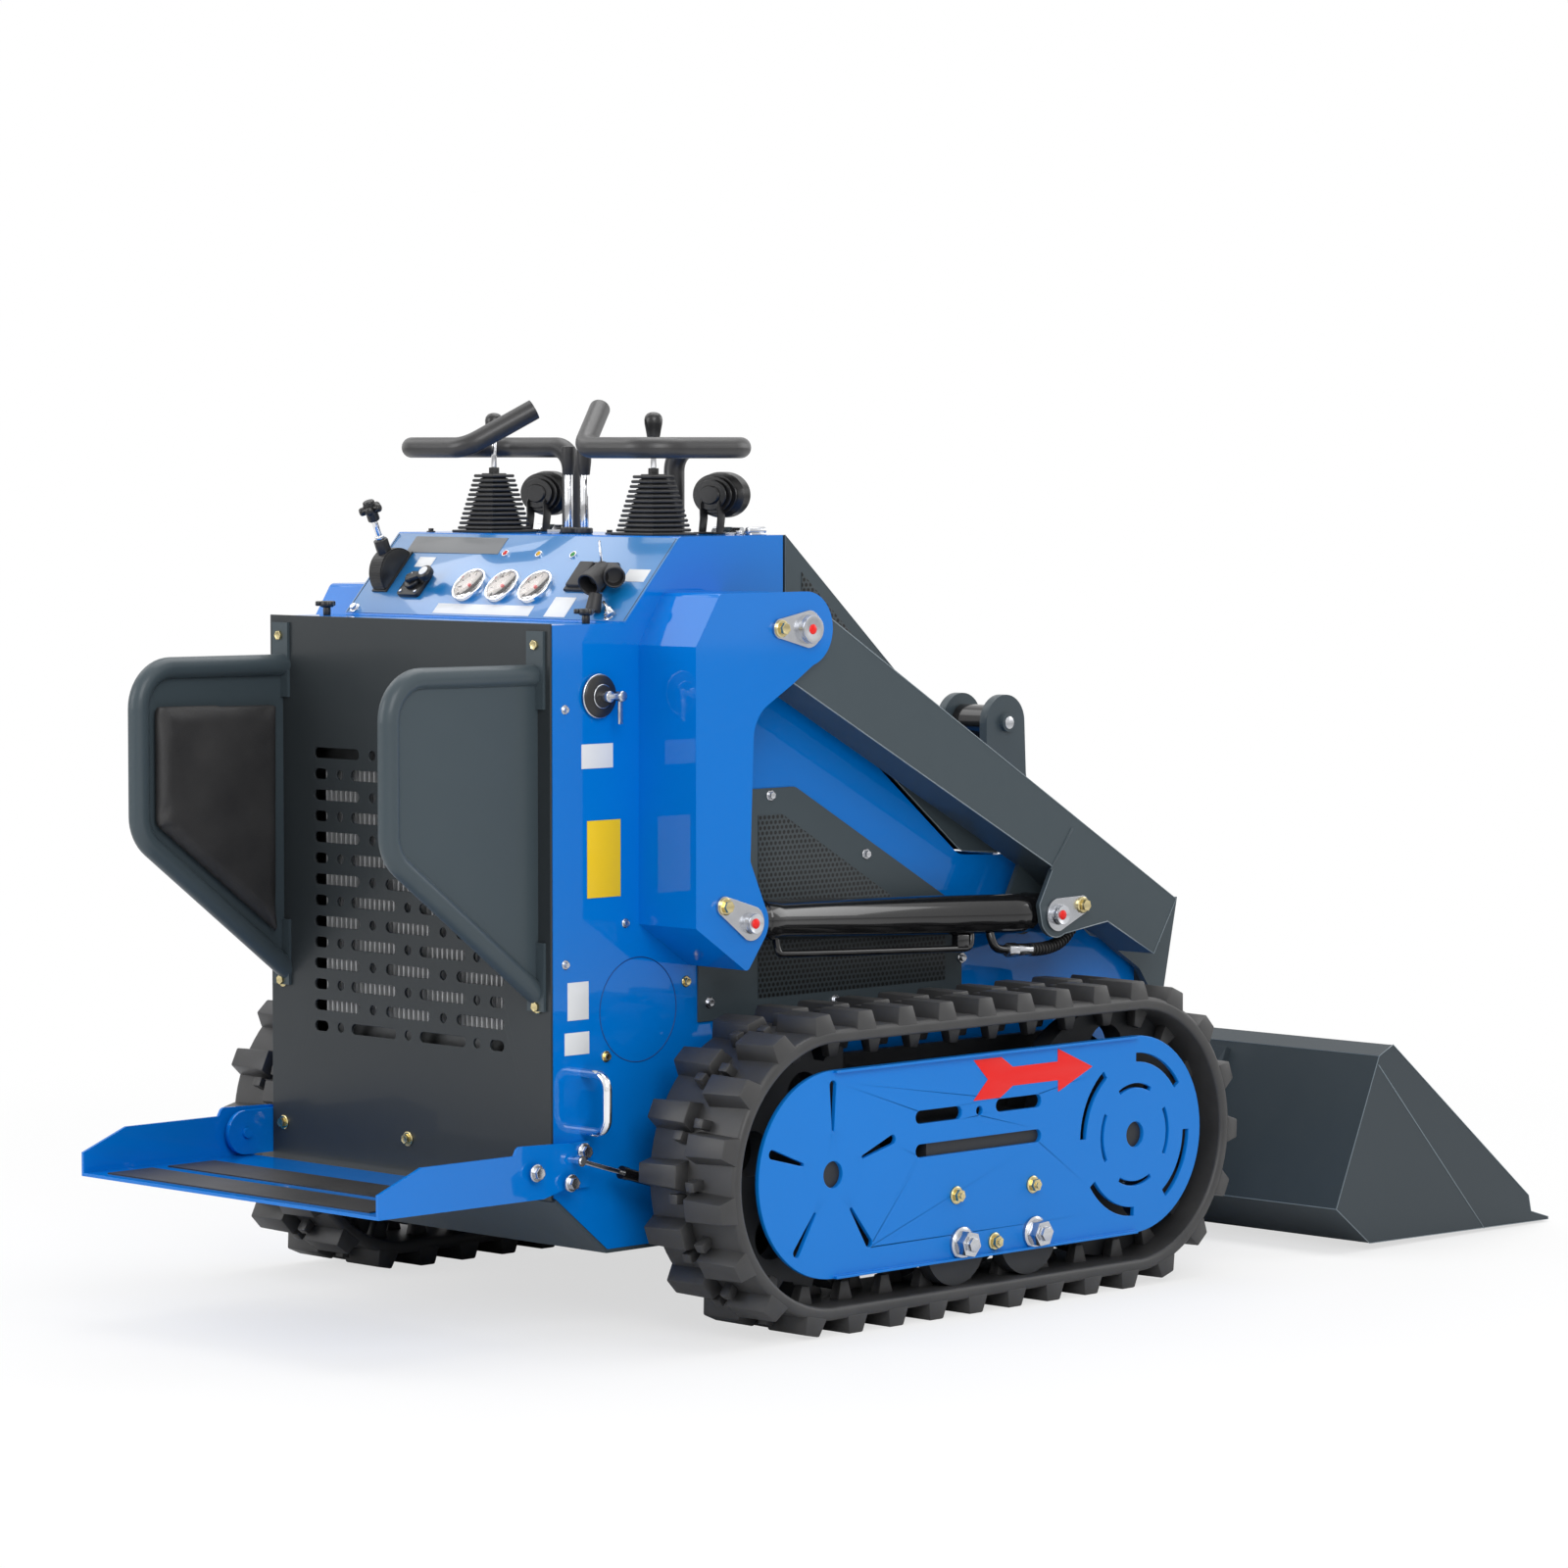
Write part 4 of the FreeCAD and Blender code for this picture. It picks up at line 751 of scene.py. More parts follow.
def makeTrack(name, side):
    middle = side * track["middle"]
    depth = (track["width"] - track["groove"]) / 2
    lugPlaces, toothPlaces = [], []
    for number in range(track["lugs"]):
        for row, phase in ((-1, 0), (1, 0.5)):
            across = middle + row * (depth + track["groove"]) / 2
            # rows on the far side of the groove are turned round, so both stubs stand at the groove
            flip = Matrix.Rotation(math.pi if row > 0 else 0, 4, "Z")
            lugPlaces.append(loopPlace((number + phase) / track["lugs"], across, 0) @ flip)
        for row in (-1, 1):
            toothPlaces.append(loopPlace((number + 0.25) / track["lugs"], middle + row * track["toothRow"],
                                         -track["band"] - track["toothDrop"]))
    band, lug, tooth = makeBand(middle), makeLug(depth), makeTooth()
    whole = joined([band, copied(lug, lugPlaces), copied(tooth, toothPlaces)])
    finished(whole, f"trackLoop_{name}", "trackRubber", 35, replaces=[f"track_{name}"])


for name, side in bothSides:
    makeTrack(name, side)
print("tracks ready")


# Hip cushions: a padded leather panel on the inner side of each hip frame

cushion = {"corners": [(-692, 922), (-928, 926), (-928, 744), (-692, 566)], "inner": 264, "thick": 23,
           "sheet": 15, "edge": 6, "voxel": 6, "pressure": 4.0, "cap": 12, "rear": -930, "front": -690,
           "frames": 20}


def padCloth(pad, side, back):
    # the pad's back is held and the rest swells, no further than the cap
    held = pad.vertex_groups.new(name="held")
    atBack = [point.index for point in pad.data.vertices if side * (point.co.y - back) > -0.004]
    held.add(atBack, 1.0, "REPLACE")
    start = [point.co.copy() for point in pad.data.vertices]
    cloth = pad.modifiers.new("padding", "CLOTH")
    cloth.settings.effector_weights.gravity = 0
    cloth.settings.use_pressure = True
    cloth.settings.uniform_pressure_force = cushion["pressure"]
    cloth.settings.vertex_group_mass = "held"
    cloth.point_cache.frame_start = 1
    cloth.point_cache.frame_end = cushion["frames"]
    for frameNumber in range(1, cushion["frames"] + 1):
        bpy.context.scene.frame_set(frameNumber)
    activate(pad)
    bpy.ops.object.modifier_apply(modifier=cloth.name)
    bpy.context.scene.frame_set(1)
    cap = cushion["cap"] / 1000
    for point, place in zip(pad.data.vertices, start):
        shift = point.co - place
        if shift.length > cap:
            point.co = place + shift * (cap / shift.length)
    pad.vertex_groups.clear()


def makeCushion(name, side):
    middle = side * (cushion["inner"] + cushion["thick"] / 2)
    flat = at(0, middle, 0) @ Matrix.Rotation(math.radians(90), 4, "X")
    sheet = cushion["sheet"]
    pad = addPlate(cushion["corners"], sheet, flat @ Matrix.Translation((0, 0, -sheet / 2000)))
    roundEdges(pad, cushion["edge"], 3, 40)
    applied(pad, "REMESH", mode="VOXEL", voxel_size=cushion["voxel"] / 1000)
    padCloth(pad, side, middle / 1000 + side * sheet / 2000)
    # the leather face stays in the room of its solid, and its back lies flat on the sheet
    near, far = sorted((side * cushion["inner"] / 1000, side * (cushion["inner"] + cushion["thick"]) / 1000))
    rear, front = (spot(cushion[end], 0, 0).x for end in ("rear", "front"))
    for point in pad.data.vertices:
        point.co.y = min(max(point.co.y, near), far)
        point.co.x = min(max(point.co.x, rear), front)
    applied(pad, "SMOOTH", factor=0.5, iterations=4)
    applied(pad, "SUBSURF", levels=1, render_levels=1)
    finished(pad, f"hipCushion_{name}", "cushionSkin", 60, replaces=["hip_cushions"])


for name, side in bothSides:
    makeCushion(name, side)
print("cushions ready")


# Fasteners: flanged hexagon bolts and nuts, and pin ends

def makeBolt(across, flange, height, hollow=0):
    # a bolt head that stands on z = 0; hollow gives a nut with a thread end in it
    foot = addDisc(flange / 2, height * 0.22, corners=28)
    insetTop(flange * 0.06, height * 0.1)
    leaveEdit()
    head = addDisc(across / math.sqrt(3), height * 0.8, height * 0.2, 6)
    insetTop(across * 0.08, -height * 0.03)
    if hollow:
        bpy.ops.mesh.inset(thickness=(across / 2 - hollow) * 0.7 / 1000)
        pushFaces(height * 0.3)
    leaveEdit()
    roundEdges(head, across * 0.035, 2, 35)
    return joined([foot, head])


boltKinds = {  # across flats, flange, height, and the thread's radius in a nut
    "panel": (13, 22, 9), "pin": (16, 26, 11), "screen": (10, 17, 7), "cap": (8, 14, 6),
    "guard": (36, 50, 24, 11), "guardSmall": (17, 27, 12, 5),
}
sideFace, guardFace, screenFace, deckTop = 318, 560, 321, 1180


def placeBolts(name, kind, places, direction, finish="zincYellow", body="machine"):
    spots = [facing(spot(*place), direction, 17 * (number + 1)) for number, place in enumerate(places)]
    return finished(copied(makeBolt(*boltKinds[kind]), spots), name, finish, 28, body)


def placeSideBolts(name, side, kind, y, places, finish="zincYellow", body="machine"):
    # places hold drawing X and Z on a face that looks to one side
    placeBolts(name, kind, [(x, side * y, z) for x, z in places], (0, side, 0), finish, body)


placeBolts("panelBolts", "panel",
           [(-669, y, z) for z in (1025, 495, 274) for y in (-290, 290)] + [(-669, 0, 274)], (-1, 0, 0))
for name, side in bothSides:
    placeSideBolts(f"towerBolts_{name}", side, "pin", 445, [(-320, 1044), (-437, 637)])
    placeSideBolts(f"armBolt_{name}", side, "pin", 430, [(367, 591)], body="boom")
    placeSideBolts(f"guardNuts_{name}", side, "guard", guardFace, [(-51, 110), (112, 110)], "zincPlate")
    placeSideBolts(f"guardBolts_{name}", side, "guardSmall", guardFace, [(-62, 184), (109, 184), (23, 105)])
    placeSideBolts(f"screenBolts_{name}", side, "screen", screenFace,
                   [(-350, 775), (-350, 480), (-220, 786), (-12, 686), (204, 511), (-80, 464)], "zincPlate")
    placeSideBolts(f"sideBolts_{name}", side, "cap", sideFace,
                   [(-641, 556), (-641, 930), (-520, 610), (-641, 250)], "zincPlate")

pinEnd = {"height": 4, "core": 8, "rim": 3, "sink": 2}
pinPlaces = [  # name, drawing X, Y and Z, body, radius
    ("towerTop", -262, 452, 1042, "machine", 21), ("towerLow", -382, 452, 609, "machine", 15),
    ("armPin", 312, 437, 579, "boom", 15),
]
for name, side in bothSides:
    for pin, x, y, z, body, radius in pinPlaces:
        cap = addDisc(radius, pinEnd["height"])
        insetTop(radius - pinEnd["core"] - pinEnd["rim"], -pinEnd["sink"])
        leaveEdit()
        roundEdges(cap, 0.8, 2, 40)
        core = addBall(pinEnd["core"], 1, 0.5, 24)
        spots = [facing(spot(x, side * y, z), (0, side, 0))]
        finished(copied(cap, spots), f"{pin}_{name}_caps", "zincPlate", 30, body)
        finished(copied(core, spots), f"{pin}_{name}_cores", "redPaint", 60, body)
print("fasteners ready")


# Signs without words: the red arrow on each track guard and blank plates on the body

plateEdge = 0.3
arrow = [(-24, 386), (38, 386), (64, 369), (166, 369), (166, 389), (246, 355), (167, 322), (167, 340),
         (64, 340), (36, 324), (-24, 324), (8, 354)]
sidePlates = [  # name, left, right, low, high, finish
    ("plateTop", -608, -545, 842, 878, "whitePlate"), ("plateYellow", -597, -530, 651, 765, "yellowPlate"),
    ("plateLow", -637, -595, 473, 529, "whitePlate"), ("plateLower", -643, -594, 422, 455, "whitePlate"),
]


def makeSidePlate(name, points, side, y, finish, thick=1.2, body="machine"):
    # points hold drawing X and Z, and the plate stands out of a side face
    upright = at(0, side * y, 0) @ Matrix.Rotation(math.radians(90), 4, "X")
    plate = addPlate(points, thick, upright @ Matrix.Scale(-side, 4, (0, 0, 1)), plateEdge)
    turnOutwards()
    return finished(plate, name, finish, 30, body)


def rectangle(left, right, low, high):
    return [(left, low), (right, low), (right, high), (left, high)]


for name, side in bothSides:
    makeSidePlate(f"arrow_{name}", arrow, side, guardFace, "redPaint", 0.8)
for name, left, right, low, high, finish in sidePlates:
    makeSidePlate(name, rectangle(left, right, low, high), -1, sideFace, finish)
print("signs ready")


# Console: gauges, signal lamps, key switch, ignition plugs, throttle and knobs

console = {"ledgeX": -519, "ledgeZ": 1054, "deckX": -405, "deckZ": deckTop}
slopeRun = Vector((console["deckX"] - console["ledgeX"], 0, console["deckZ"] - console["ledgeZ"]))
slopeRun.normalize()
slopeUp = Vector((-slopeRun.z, 0, slopeRun.x))


def onConsole(along, y, lift=0):
    flat = slopeRun * along + slopeUp * lift
    return spot(console["ledgeX"] + flat.x, y, console["ledgeZ"] + flat.z)


def consoleMatrix(along, y, lift=0, spin=0):
    # X runs up the slope, Y to the driver's left and Z out of the console
    axes = Matrix((slopeRun, (0, 1, 0), slopeUp)).transposed().to_4x4()
    return Matrix.Translation(onConsole(along, y, lift)) @ axes @ Matrix.Rotation(math.radians(spin), 4, "Z")


def consoleRod(start, end, radius, corners=32, edge=0, segments=2):
    # start and end hold along, across and lift on the console
    return addRod(onConsole(*start), onConsole(*end), radius, corners, edge, segments)


gauge = {"along": 60, "across": (-83, -9, 66), "radius": 31, "height": 10, "rim": 3.2, "sink": 6,
         "taper": 0.93, "ticks": 9, "sweep": 270, "tickRadius": 20.5, "needleTurn": -128}


def makeGauges():
    bezel = addDisc(gauge["radius"], gauge["height"], corners=56)
    insetTop(gauge["rim"])
    pushFaces(-gauge["sink"])
    bpy.ops.transform.resize(value=(gauge["taper"], gauge["taper"], 1))
    leaveEdit()
    roundEdges(bezel, 1.1, 3, 35)
    face = roundEdges(addDisc(26.2, 1.2, 4, 48), 0.3, 1, 40)
    marks = []
    for number in range(gauge["ticks"]):
        turn = math.radians(gauge["sweep"] * (number / (gauge["ticks"] - 1) - 0.5))
        place = Matrix.Rotation(turn, 4, "Z") @ Matrix.Translation((gauge["tickRadius"] / 1000, 0, 0.0054))
        marks.append(addBlock((5, 1.2, 0.5), place, 0.15, 1))
    marks = joined(marks)
    needleTurn = Matrix.Rotation(math.radians(gauge["needleTurn"]), 4, "Z")
    needle = joined([addBlock((21, 1.3, 0.8), needleTurn @ Matrix.Translation((0.008, 0, 0.0062)), 0.3, 1),
                     addRod((0, 0, 0.0052), (0, 0, 0.0076), 2.6, 20, 0.5, 2)])
    glass = roundEdges(addDisc(27.2, 1, 8.5, 48), 0.3, 2, 40)
    spots = [consoleMatrix(gauge["along"], y) for y in gauge["across"]]
    finished(copied(bezel, spots), "gaugeBezels", "chrome", replaces=["console_instruments"])
    for part, name, finish, slot in (
            (face, "gaugeFaces", "gaugeFace", None), (marks, "gaugeMarks", "blackPlastic", None),
            (needle, "gaugeNeedles", "redPaint", "black_plastic"), (glass, "gaugeGlass", "clearGlass", None)):
        finished(copied(part, spots), name, finish)


signals = {"along": 128, "Red": 37, "Yellow": -38, "Green": -115, "rim": 6.2, "lens": 4.4}


def makeSignalLamps():
    for name in ("Red", "Yellow", "Green"):
        matrix = consoleMatrix(signals["along"], signals[name])
        rim = addDisc(signals["rim"], 4, corners=28)
        insetTop(1.6)
        pushFaces(-2)
        leaveEdit()
        roundEdges(rim, 0.5, 2, 40)
        finished(moved(rim, matrix), f"lampRim{name}", "chrome")
        lens = addBall(signals["lens"], 2, 0.7, 20)
        finished(moved(lens, matrix), f"lampLens{name}", f"{name.lower()}Lens", 60)


keySwitch = {"along": 60, "across": 194, "corner": 18, "round": 6, "screws": 17}


def makeKeySwitch():
    along, y, corner = keySwitch["along"], keySwitch["across"], keySwitch["corner"]
    outline = []
    for right, up, start in ((-1, -1, 180), (1, -1, 270), (1, 1, 0), (-1, 1, 90)):
        outline += circlePoints(right * corner, up * corner, keySwitch["round"], 5, start, 90)
    body = [addPlate(outline, 8, consoleMatrix(along, y), 1.2),
            consoleRod((along, y, 6), (along, y, 15), 14, 36, 2, 3),
            addBlock((12, 42, 11), consoleMatrix(along + 4, y - 14, 19, 24), 5, 4),
            consoleRod((along, y, 13), (along + 1, y - 4, 22), 8, 24, 1.5, 2),
            consoleRod((along + 9, y - 32, 14), (along + 9, y - 32, 27), 13, 40, 4, 4)]
    cap = consoleRod((along + 9, y - 32, 25.5), (along + 9, y - 32, 28), 8, 32, 0.6, 2)
    reach = (-keySwitch["screws"], keySwitch["screws"])
    screws = [consoleRod((along + a, y + b, 7), (along + a, y + b, 10), 3, 16, 0.6, 2)
              for a in reach for b in reach]
    finished(joined(body), "keySwitch", "blackPlastic", 40)
    finished(cap, "keySwitchCap", "whitePlate", 40)
    finished(joined(screws), "keySwitchScrews", "zincPlate", 40)


# the key lock and two plugs with hollow caps hang over the plate's right end
ignition = {"along": 84, "across": -188, "hung": -240, "plate": (28, 41),
            "caps": [  # place, radius, length, direction
                ((58, -242, 34), 19, 48, (-0.62, -0.10, -0.34)),
                ((72, -262, 26), 17, 30, (-0.45, -0.6, -0.25)), ((24, -248, 17), 12, 28, (-0.25, 0, -1))]}


def makeIgnition():
    along, y, hung = ignition["along"], ignition["across"], ignition["hung"]
    wide, long = ignition["plate"]
    pieces = [addPlate(rectangle(-wide, wide, -long, long), 7, consoleMatrix(along, y), 2),
              addBlock((48, 30, 8), consoleMatrix(along, y + 20, 9), 2.5, 3)]
    for centre, radius, length, direction in ignition["caps"]:
        cap = addDisc(radius, length, -length / 2, 36)
        insetTop(radius * 0.2)
        pushFaces(-length * 0.5)
        leaveEdit()
        pickFaces(lambda place, normal: normal.z < -0.9)
        bpy.ops.transform.resize(value=(0.8, 0.8, 1))
        leaveEdit()
        roundEdges(cap, radius * 0.09, 3, 35)
        pieces.append(moved(cap, facing(onConsole(*centre), direction)))
    pieces.append(consoleRod((along - 2, y - 20, 6), (along - 20, hung, 30), 15, 32, 3, 3))
    finished(joined(pieces), "ignitionPlugs", "blackRubber", 38)
    ring = addRing(onConsole(along + 14, hung + 10, 44), (0.7, -0.7, 0.1), 17, 1.5)
    finished(ring, "keyRing", "chrome", 60)
    link = consoleRod((along - 56, hung - 22, 14), (along - 68, hung - 40, 7), 2.4, 16, 0.6, 2)
    nut = consoleRod((along - 66, hung - 36, 9), (along - 74, hung - 46, 5), 7, 6, 1, 2)
    finished(joined([link, nut]), "plugScrew", "zincPlate", 35)


throttle = {"along": 86, "across": 268, "dome": 38, "thick": 30, "knurls": 46, "top": (-511, 1226),
            "rod": 4.8, "lobes": 5}


def makeThrottle():
    # a half-round dome that lies on the slope, with a ribbed rim, and a rod with a lobed knob
    matrix = consoleMatrix(throttle["along"], throttle["across"])
    face = matrix @ Matrix.Rotation(math.radians(90), 4, "X")
    radius, thick = throttle["dome"], throttle["thick"]
    half = Matrix.Translation((0, 0, -thick / 2000))
    dome = addPlate(circlePoints(0, 0, radius, 33, 0, 180), thick, face @ half, 4)
    spots = []
    for number in range(throttle["knurls"]):
        turn = math.radians(4 + 172 * number / (throttle["knurls"] - 1))
        spots.append(face @ Matrix.Rotation(turn, 4, "Z") @ Matrix.Translation((radius / 1000, 0, 0)))
    ribs = copied(addBlock((1.6, 2.6, 27), Matrix.Identity(4), 0.5, 1), spots)
    base = addPlate(rectangle(-radius - 3, radius + 3, -17, 17), 4, matrix, 1)
    finished(joined([dome, ribs, base]), "throttleDome", "blackPlastic", 35, replaces=["throttle_lever"])
    top = spot(throttle["top"][0], throttle["across"], throttle["top"][1])
    start = onConsole(throttle["along"] + 10, throttle["across"], 31)
    along = (top - start).normalized()

    def rod(origin, low, high, *shape):
        return addRod(origin + along * (low / 1000), origin + along * (high / 1000), *shape)

    finished(rod(start, -10, 26, 12.5, 6, 2, 2), "throttleBoss", "blackPlastic")
    nut = rod(start, 26, 32, 8, 6, 1, 2)
    bar = rod(start, 28, (top - start).length * 1000 - 20, throttle["rod"], 24, 0.4, 2)
    finished(joined([nut, bar]), "throttleRod", "chrome", 35)
    hub = rod(top, -30, 4, 9.5, 32, 3, 4)
    turned = facing(top - along * 0.010, along)
    turns = [Matrix.Rotation(math.radians(360 / throttle["lobes"] * number + 20), 4, "Z")
             for number in range(throttle["lobes"])]
    lobes = copied(addRod((0.004, 0, 0), (0.0185, 0, 0), 6.6, 24, 4, 4), [turned @ turn for turn in turns])
    finished(joined([hub, lobes]), "throttleKnob", "blackPlastic", 45)


ledgeKnob = {"places": ((-583, 284), (-572, -290)), "reach": 13, "lobes": 3}
plateScrews = {"along": 11, "across": (300, -277)}


def makeLedgeKnobs():
    stems, caps = [], []
    for x, y in ledgeKnob["places"]:
        ledge = console["ledgeZ"]
        stems.append(addRod(spot(x, y, ledge), spot(x, y, ledge + 14), 6, 24, 1, 2))
        caps.append(addRod(spot(x, y, ledge + 12), spot(x, y, ledge + 22), 11, 32, 3, 3))
        for number in range(ledgeKnob["lobes"]):
            turn = math.radians(120 * number + 10)
            right = x + ledgeKnob["reach"] * math.cos(turn)
            ahead = y + ledgeKnob["reach"] * math.sin(turn)
            foot, end = spot(right, ahead, ledge + 14), spot(right, ahead, ledge + 21.5)
            caps.append(addRod(foot, end, 5, 16, 1.5, 2))
    finished(joined(stems + caps), "ledgeKnobs", "blackPlastic", 40)
    spots = [consoleMatrix(plateScrews["along"], y, 1, y) for y in plateScrews["across"]]
    finished(copied(makeBolt(*boltKinds["screen"]), spots), "consoleScrews", "zincPlate", 28)


consolePlate = {"size": (164, 634, 1.6), "middle": 84.5, "lift": 0.2, "seam": 313, "label": 1.6}
consoleLabels = [  # name, along low and high, across low and high, finish
    ("labelTop", 127, 160, 55, 268, "greyLabel"), ("labelStrip", 6, 26, -102, 115, "whitePlate"),
    ("labelSmall", 98, 118, 190, 227, "whitePlate"), ("labelRound", 79, 103, -302, -256, "whitePlate"),
    ("labelSquare", 6, 45, -182, -136, "whitePlate"),
]


def makeConsolePlate():
    middle = consoleMatrix(consolePlate["middle"], 0, consolePlate["lift"])
    finished(addBlock(consolePlate["size"], middle, 0.5), "consolePlate", "consoleBlue")
    for name, low, high, right, left, finish in consoleLabels:
        label = addPlate(rectangle(low, high, right, left), consolePlate["label"], consoleMatrix(0, 0), 0.2)
        finished(label, name, finish)
    # thin seam that runs up both edges of the sloping plate
    seams = [consoleRod((4, y, 0.6), (165, y, 0.6), 1.0, 8, 0.3, 1)
             for y in (-consolePlate["seam"], consolePlate["seam"])]
    finished(joined(seams), "consoleSeams", "blackPlastic", 60)


makeGauges()
makeSignalLamps()
makeKeySwitch()
makeIgnition()
makeThrottle()
makeLedgeKnobs()
makeConsolePlate()
print("console ready")


# Deck: joysticks in their bellows, upright levers, work lamps and small bolts

stick = {"x": -329, "y": 180, "foot": (94, 94, 4), "low": 41, "top": 23, "fins": 12, "height": 88,
         "rodTop": 1331, "core": 9,
         # radius and height of the pear-shaped knob's outline
         "knob": [(0, 0), (8, 0), (9.2, 2), (11.4, 14), (13.6, 25), (14, 31), (12.8, 36.5), (9.4, 40.5),
                  (4.8, 42.5), (0, 43)]}


def makeJoystick(name, side):
    x, y, low = stick["x"], side * stick["y"], deckTop + stick["foot"][2]
    step = stick["height"] / stick["fins"]
    pieces = [addBlock(stick["foot"], at(x, y, deckTop + 2), 1.4, 2)]
    for number in range(stick["fins"]):
        half = stick["low"] + (stick["top"] - stick["low"]) * number / (stick["fins"] - 1)
        fin = addBlock((2 * half, 2 * half, 4.8), at(x, y, low + step * (number + 0.45)))
        pieces.append(roundEdges(fin, 2.2, 3, 30))
        inner = 2 * (half - stick["core"])
        pieces.append(addBlock((inner, inner, step), at(x, y, low + step * (number + 0.5)), 1.2, 2))
    top = low + stick["height"]
    pieces.append(addRod(spot(x, y, top - 4), spot(x, y, top + 9), 8.5, 6, 1, 2))
    finished(joined(pieces), f"bellows_{name}", "blackRubber", 32, replaces=["joysticks"])
    rod = addRod(spot(x, y, top + 6), spot(x, y, stick["rodTop"]), 4.2, 24, 0.4, 2)
    finished(rod, f"stickRod_{name}", "chrome", 40)
    knob = moved(turnedPiece(stick["knob"], 36), at(x, y, stick["rodTop"] - 8))
    finished(knob, f"stickKnob_{name}", "blackPlastic", 60)


lever = {"x": -321, "y": 18, "top": 1312, "rod": 6.6, "grip": [  # radius and height of the grip's outline
    (0, 0), (7.8, 0), (8.5, 1.2), (10.6, 20), (11, 40), (10.3, 43.5), (0, 45)]}


def makeLevers():
    rods, grips, feet = [], [], []
    for side in (-1, 1):
        x, y = lever["x"], side * lever["y"]
        rods.append(addRod(spot(x, y, deckTop), spot(x, y, lever["top"] - 30), lever["rod"], 28, 0.4, 2))
        grips.append(moved(turnedPiece(lever["grip"], 36), at(x, y, lever["top"] - 42)))
        feet.append(addRod(spot(x, y, deckTop), spot(x, y, deckTop + 9), 13, 28, 2, 3))
    finished(joined(rods), "leverRods", "chrome", 40, replaces=["drive_levers"])
    finished(joined(grips + feet), "leverGrips", "blackRubber", 50)


lamp = {
    "x": -205, "y": 196, "z": 1240, "oval": 1.5, "strap": 19,
    "shell": [(0, -23.5), (13, -23.5), (14.5, -21.5), (15, -14), (22.5, -12.5), (30, -4), (34, 0),
              (35, 1.5), (35, 15), (34, 16), (32.2, 16), (31.6, 12.5), (15, 2), (0, 1)],
    "fins": ((-19.5, 22.5), (-15, 27.5), (-10, 31.5)), "finRoot": 10, "finHalf": 0.9,
    "mirror": [(0, 2.2), (14, 3.2), (30.6, 12.8), (30.6, 13.5), (0, 13.5)],
    "bracket": [(-232, 1180), (-218, 1180), (-214, 1204), (-214, 1226), (-222, 1238), (-230, 1226),
                (-229, 1204)],
}


def makeLamp(name, side):
    y = side * lamp["y"]
    front = at(lamp["x"], y, lamp["z"]) @ Matrix.Rotation(math.radians(90), 4, "Y")
    front = front @ Matrix.Diagonal((1, lamp["oval"], 1, 1))
    pieces = [turnedPiece(lamp["shell"], 56)]
    root, half = lamp["finRoot"], lamp["finHalf"]
    for place, radius in lamp["fins"]:
        pieces.append(turnedPiece([(root, place - half), (radius, place - half), (radius + 0.6, place),
                                   (radius, place + half), (root, place + half)], 48))
    strap = [moved(joined(pieces), front)]
    for across in (-lamp["strap"], lamp["strap"]):
        upright = at(0, y + across, 0) @ Matrix.Rotation(math.radians(90), 4, "X")
        strap.append(addPlate(lamp["bracket"], 3, upright, 0.6))
    strap.append(addBlock((30, 44, 3), at(-225, y, 1182), 0.8, 2))
    strap.append(addRod(spot(-222, y - 22, 1229), spot(-222, y + 22, 1229), 4, 20, 0.8, 2))
    finished(joined(strap), f"lampHousing_{name}", "blackPlastic", 35, replaces=["work_lamps"])
    finished(moved(turnedPiece(lamp["mirror"], 48), front), f"lampGlass_{name}", "clearGlass", 50)


for name, side in bothSides:
    makeJoystick(name, side)
    makeLamp(name, side)
makeLevers()
placeBolts("deckBolts", "cap", [(-388, 262, deckTop), (-300, 52, deckTop), (-300, -52, deckTop)],
           (0, 0, 1), "blackPlastic")
hingeSpots = [(-212, side * y, deckTop) for side in (-1, 1) for y in (200, 245, 262)]
placeBolts("hingeBolts", "cap", hingeSpots, (0, 0, 1), "zincPlate")
hinge = {"x": -228, "y": 298, "half": 18, "up": 7, "pin": 5.5, "foot": (32, 16, 3)}
for name, side in bothSides:
    x, y, half = hinge["x"], side * hinge["y"], hinge["half"]
    low, high = (spot(x + run, y, deckTop + hinge["up"]) for run in (-half, half))
    pin = addRod(low, high, hinge["pin"], 28, 1.2, 3)
    foot = addBlock(hinge["foot"], at(x, y, deckTop + hinge["foot"][2] / 2), 0.6, 2)
    finished(joined([pin, foot]), f"hingePin_{name}", "zincPlate", 40)
print("deck ready")


# Battery switch: a black disc with a chromed rim and a silver key

battery = {"x": -576, "z": 948, "disc": [  # radius and height of the disc's outline
    (0, 0), (30, 0), (31.5, 1.2), (31.5, 8), (30, 9.5), (18, 11), (16, 16), (0, 16.5)]}


def makeBatterySwitch():
    out = Vector((0, -1, 0))

    def place(lift, ahead=0, up=0):
        return spot(battery["x"] + ahead, -sideFace - lift, battery["z"] + up)

    disc = moved(turnedPiece(battery["disc"], 56), facing(place(0), out))
    finished(disc, "batteryDisc", "blackPlastic", 40, replaces=["battery_switch"])
    key = [addRing(place(5), out, 31.5, 1.8, 56, 12), addRing(place(12.5), out, 17, 1.2, 48, 10),
           addRod(place(14), place(30), 8.5, 32, 1.5, 3),
           addBlock((27, 9, 9), facing(place(26, 10), out), 2.5, 3),
           addRod(place(21, 23), place(33, 23), 8, 32, 2, 3),
           addBlock((9, 34, 2.4), facing(place(28.5, 20, -24), out), 1, 2)]
    finished(joined(key), "batteryKey", "zincPlate", 40)


makeBatterySwitch()


# Side screens and hood: fields of small holes, and a round cover on each side of the body

